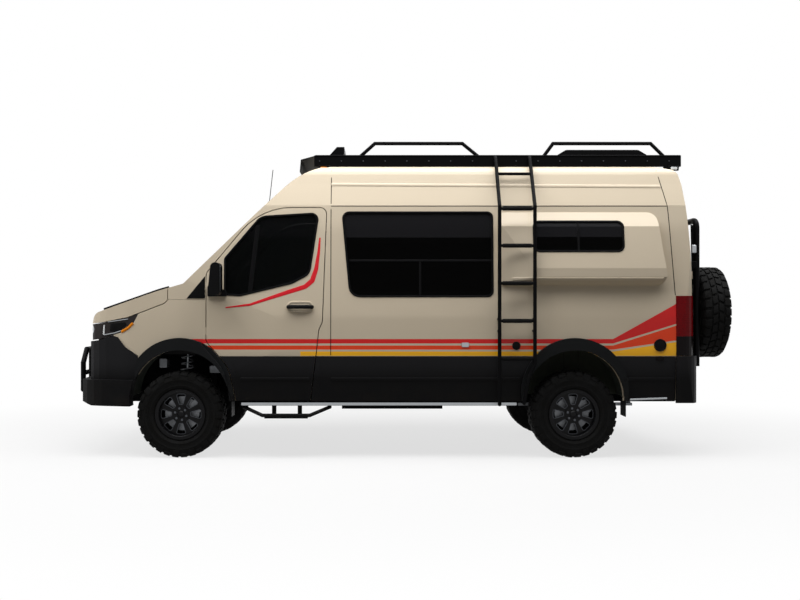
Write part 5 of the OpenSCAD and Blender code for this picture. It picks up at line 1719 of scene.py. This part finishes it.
def swollen(made):
    """Voxel remesh, then cloth under pressure with a cap on how far a point moves."""
    remesh = made.modifiers.new("remesh", "REMESH")
    remesh.mode, remesh.voxel_size = "VOXEL", VOXEL
    graph = bpy.context.evaluated_depsgraph_get()
    mesh = bpy.data.meshes.new_from_object(made.evaluated_get(graph))
    made.modifiers.remove(remesh)
    made.data = mesh
    start = np.array([v.co for v in mesh.vertices])
    cloth = made.modifiers.new("cloth", "CLOTH")
    settings = cloth.settings
    settings.use_pressure, settings.uniform_pressure_force = True, PRESSURE
    settings.effector_weights.gravity = 0.0
    settings.quality = 4
    cloth.point_cache.frame_start, cloth.point_cache.frame_end = 1, FRAMES
    for step in range(1, FRAMES + 1):
        scene.frame_set(step)
    graph = bpy.context.evaluated_depsgraph_get()
    shape = made.evaluated_get(graph).to_mesh()
    moved = np.array([v.co for v in shape.vertices]) - start
    made.modifiers.remove(cloth)
    far = np.linalg.norm(moved, axis=1, keepdims=True)
    place = start + moved * np.minimum(1.0, SWELL / np.maximum(far, 1e-9))
    mesh.vertices.foreach_set("co", place.ravel())
    scene.frame_set(1)
    mesh.materials.clear()
    mesh.materials.append(seat_cloth)
    mesh.polygons.foreach_set("use_smooth", [True] * len(mesh.polygons))
    mesh.update()
    return made


def pad_block(name, half, rows):
    inside = half - SWELL - PAD_GAP
    outline = grown(opening(front_x, *rows), -SWELL)
    return prism(name, outline, -inside, inside, seat_cloth, "y", 0.030)


print("pads of a seat:", len(PADS))

# %% Seats
PIPING_D, POST_D, POST_Y = 0.009, 0.014, 0.060
BASE = opening(front_x, (772, 602, 12), (1148, 602, 12), (1165, 898, 12), (755, 898, 12))
BASE_HALF = 0.196
pads = [swollen(pad_block(*row)) for row in PADS]
trims = []
for name, half, rows in PADS:
    edge = grown(opening(front_x, *rows), -SWELL)
    for count, y in enumerate((-half + SWELL + PAD_GAP, half - SWELL - PAD_GAP)):
        ring = [(p.x, y, p.y) for p in dense(edge, 0.02, True)]
        trims.append(tube(f"{name}_piping_{count}", ring + ring[:1], PIPING_D, trim_black, 8))
pedestal = prism("seat_base", BASE, -BASE_HALF, BASE_HALF, cab_plastic, "y", 0.012)
posts = []
for y in (-POST_Y, POST_Y):
    ends = [(front_x + 1.392, y, 1.530), (front_x + 1.400, y, 1.606)]
    posts.append(tube(f"head_post_{y}", ends, POST_D, silver, 12))
soft = join("seat_pads_left", pads)
hard = join("seat_frame_left", trims + [pedestal] + posts)
for made in (soft, hard):
    twin = bpy.data.objects.new(made.name.replace("left", "right"), made.data.copy())
    scene.collection.objects.link(twin)
    twin.data.transform(Matrix.Translation((0, SEAT_Y, 0)))
    made.data.transform(Matrix.Translation((0, -SEAT_Y, 0)))
    for piece in (made, twin):
        add_piece(piece, "van", "seat_fabric", "seats")
print("seat pads:", len(soft.data.vertices), "points a seat")

# %% [markdown]
# The dressed van's box is printed.

# %% Sizes and finish
low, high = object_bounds()
print("visual box", tuple(round(v, 3) for v in high - low))
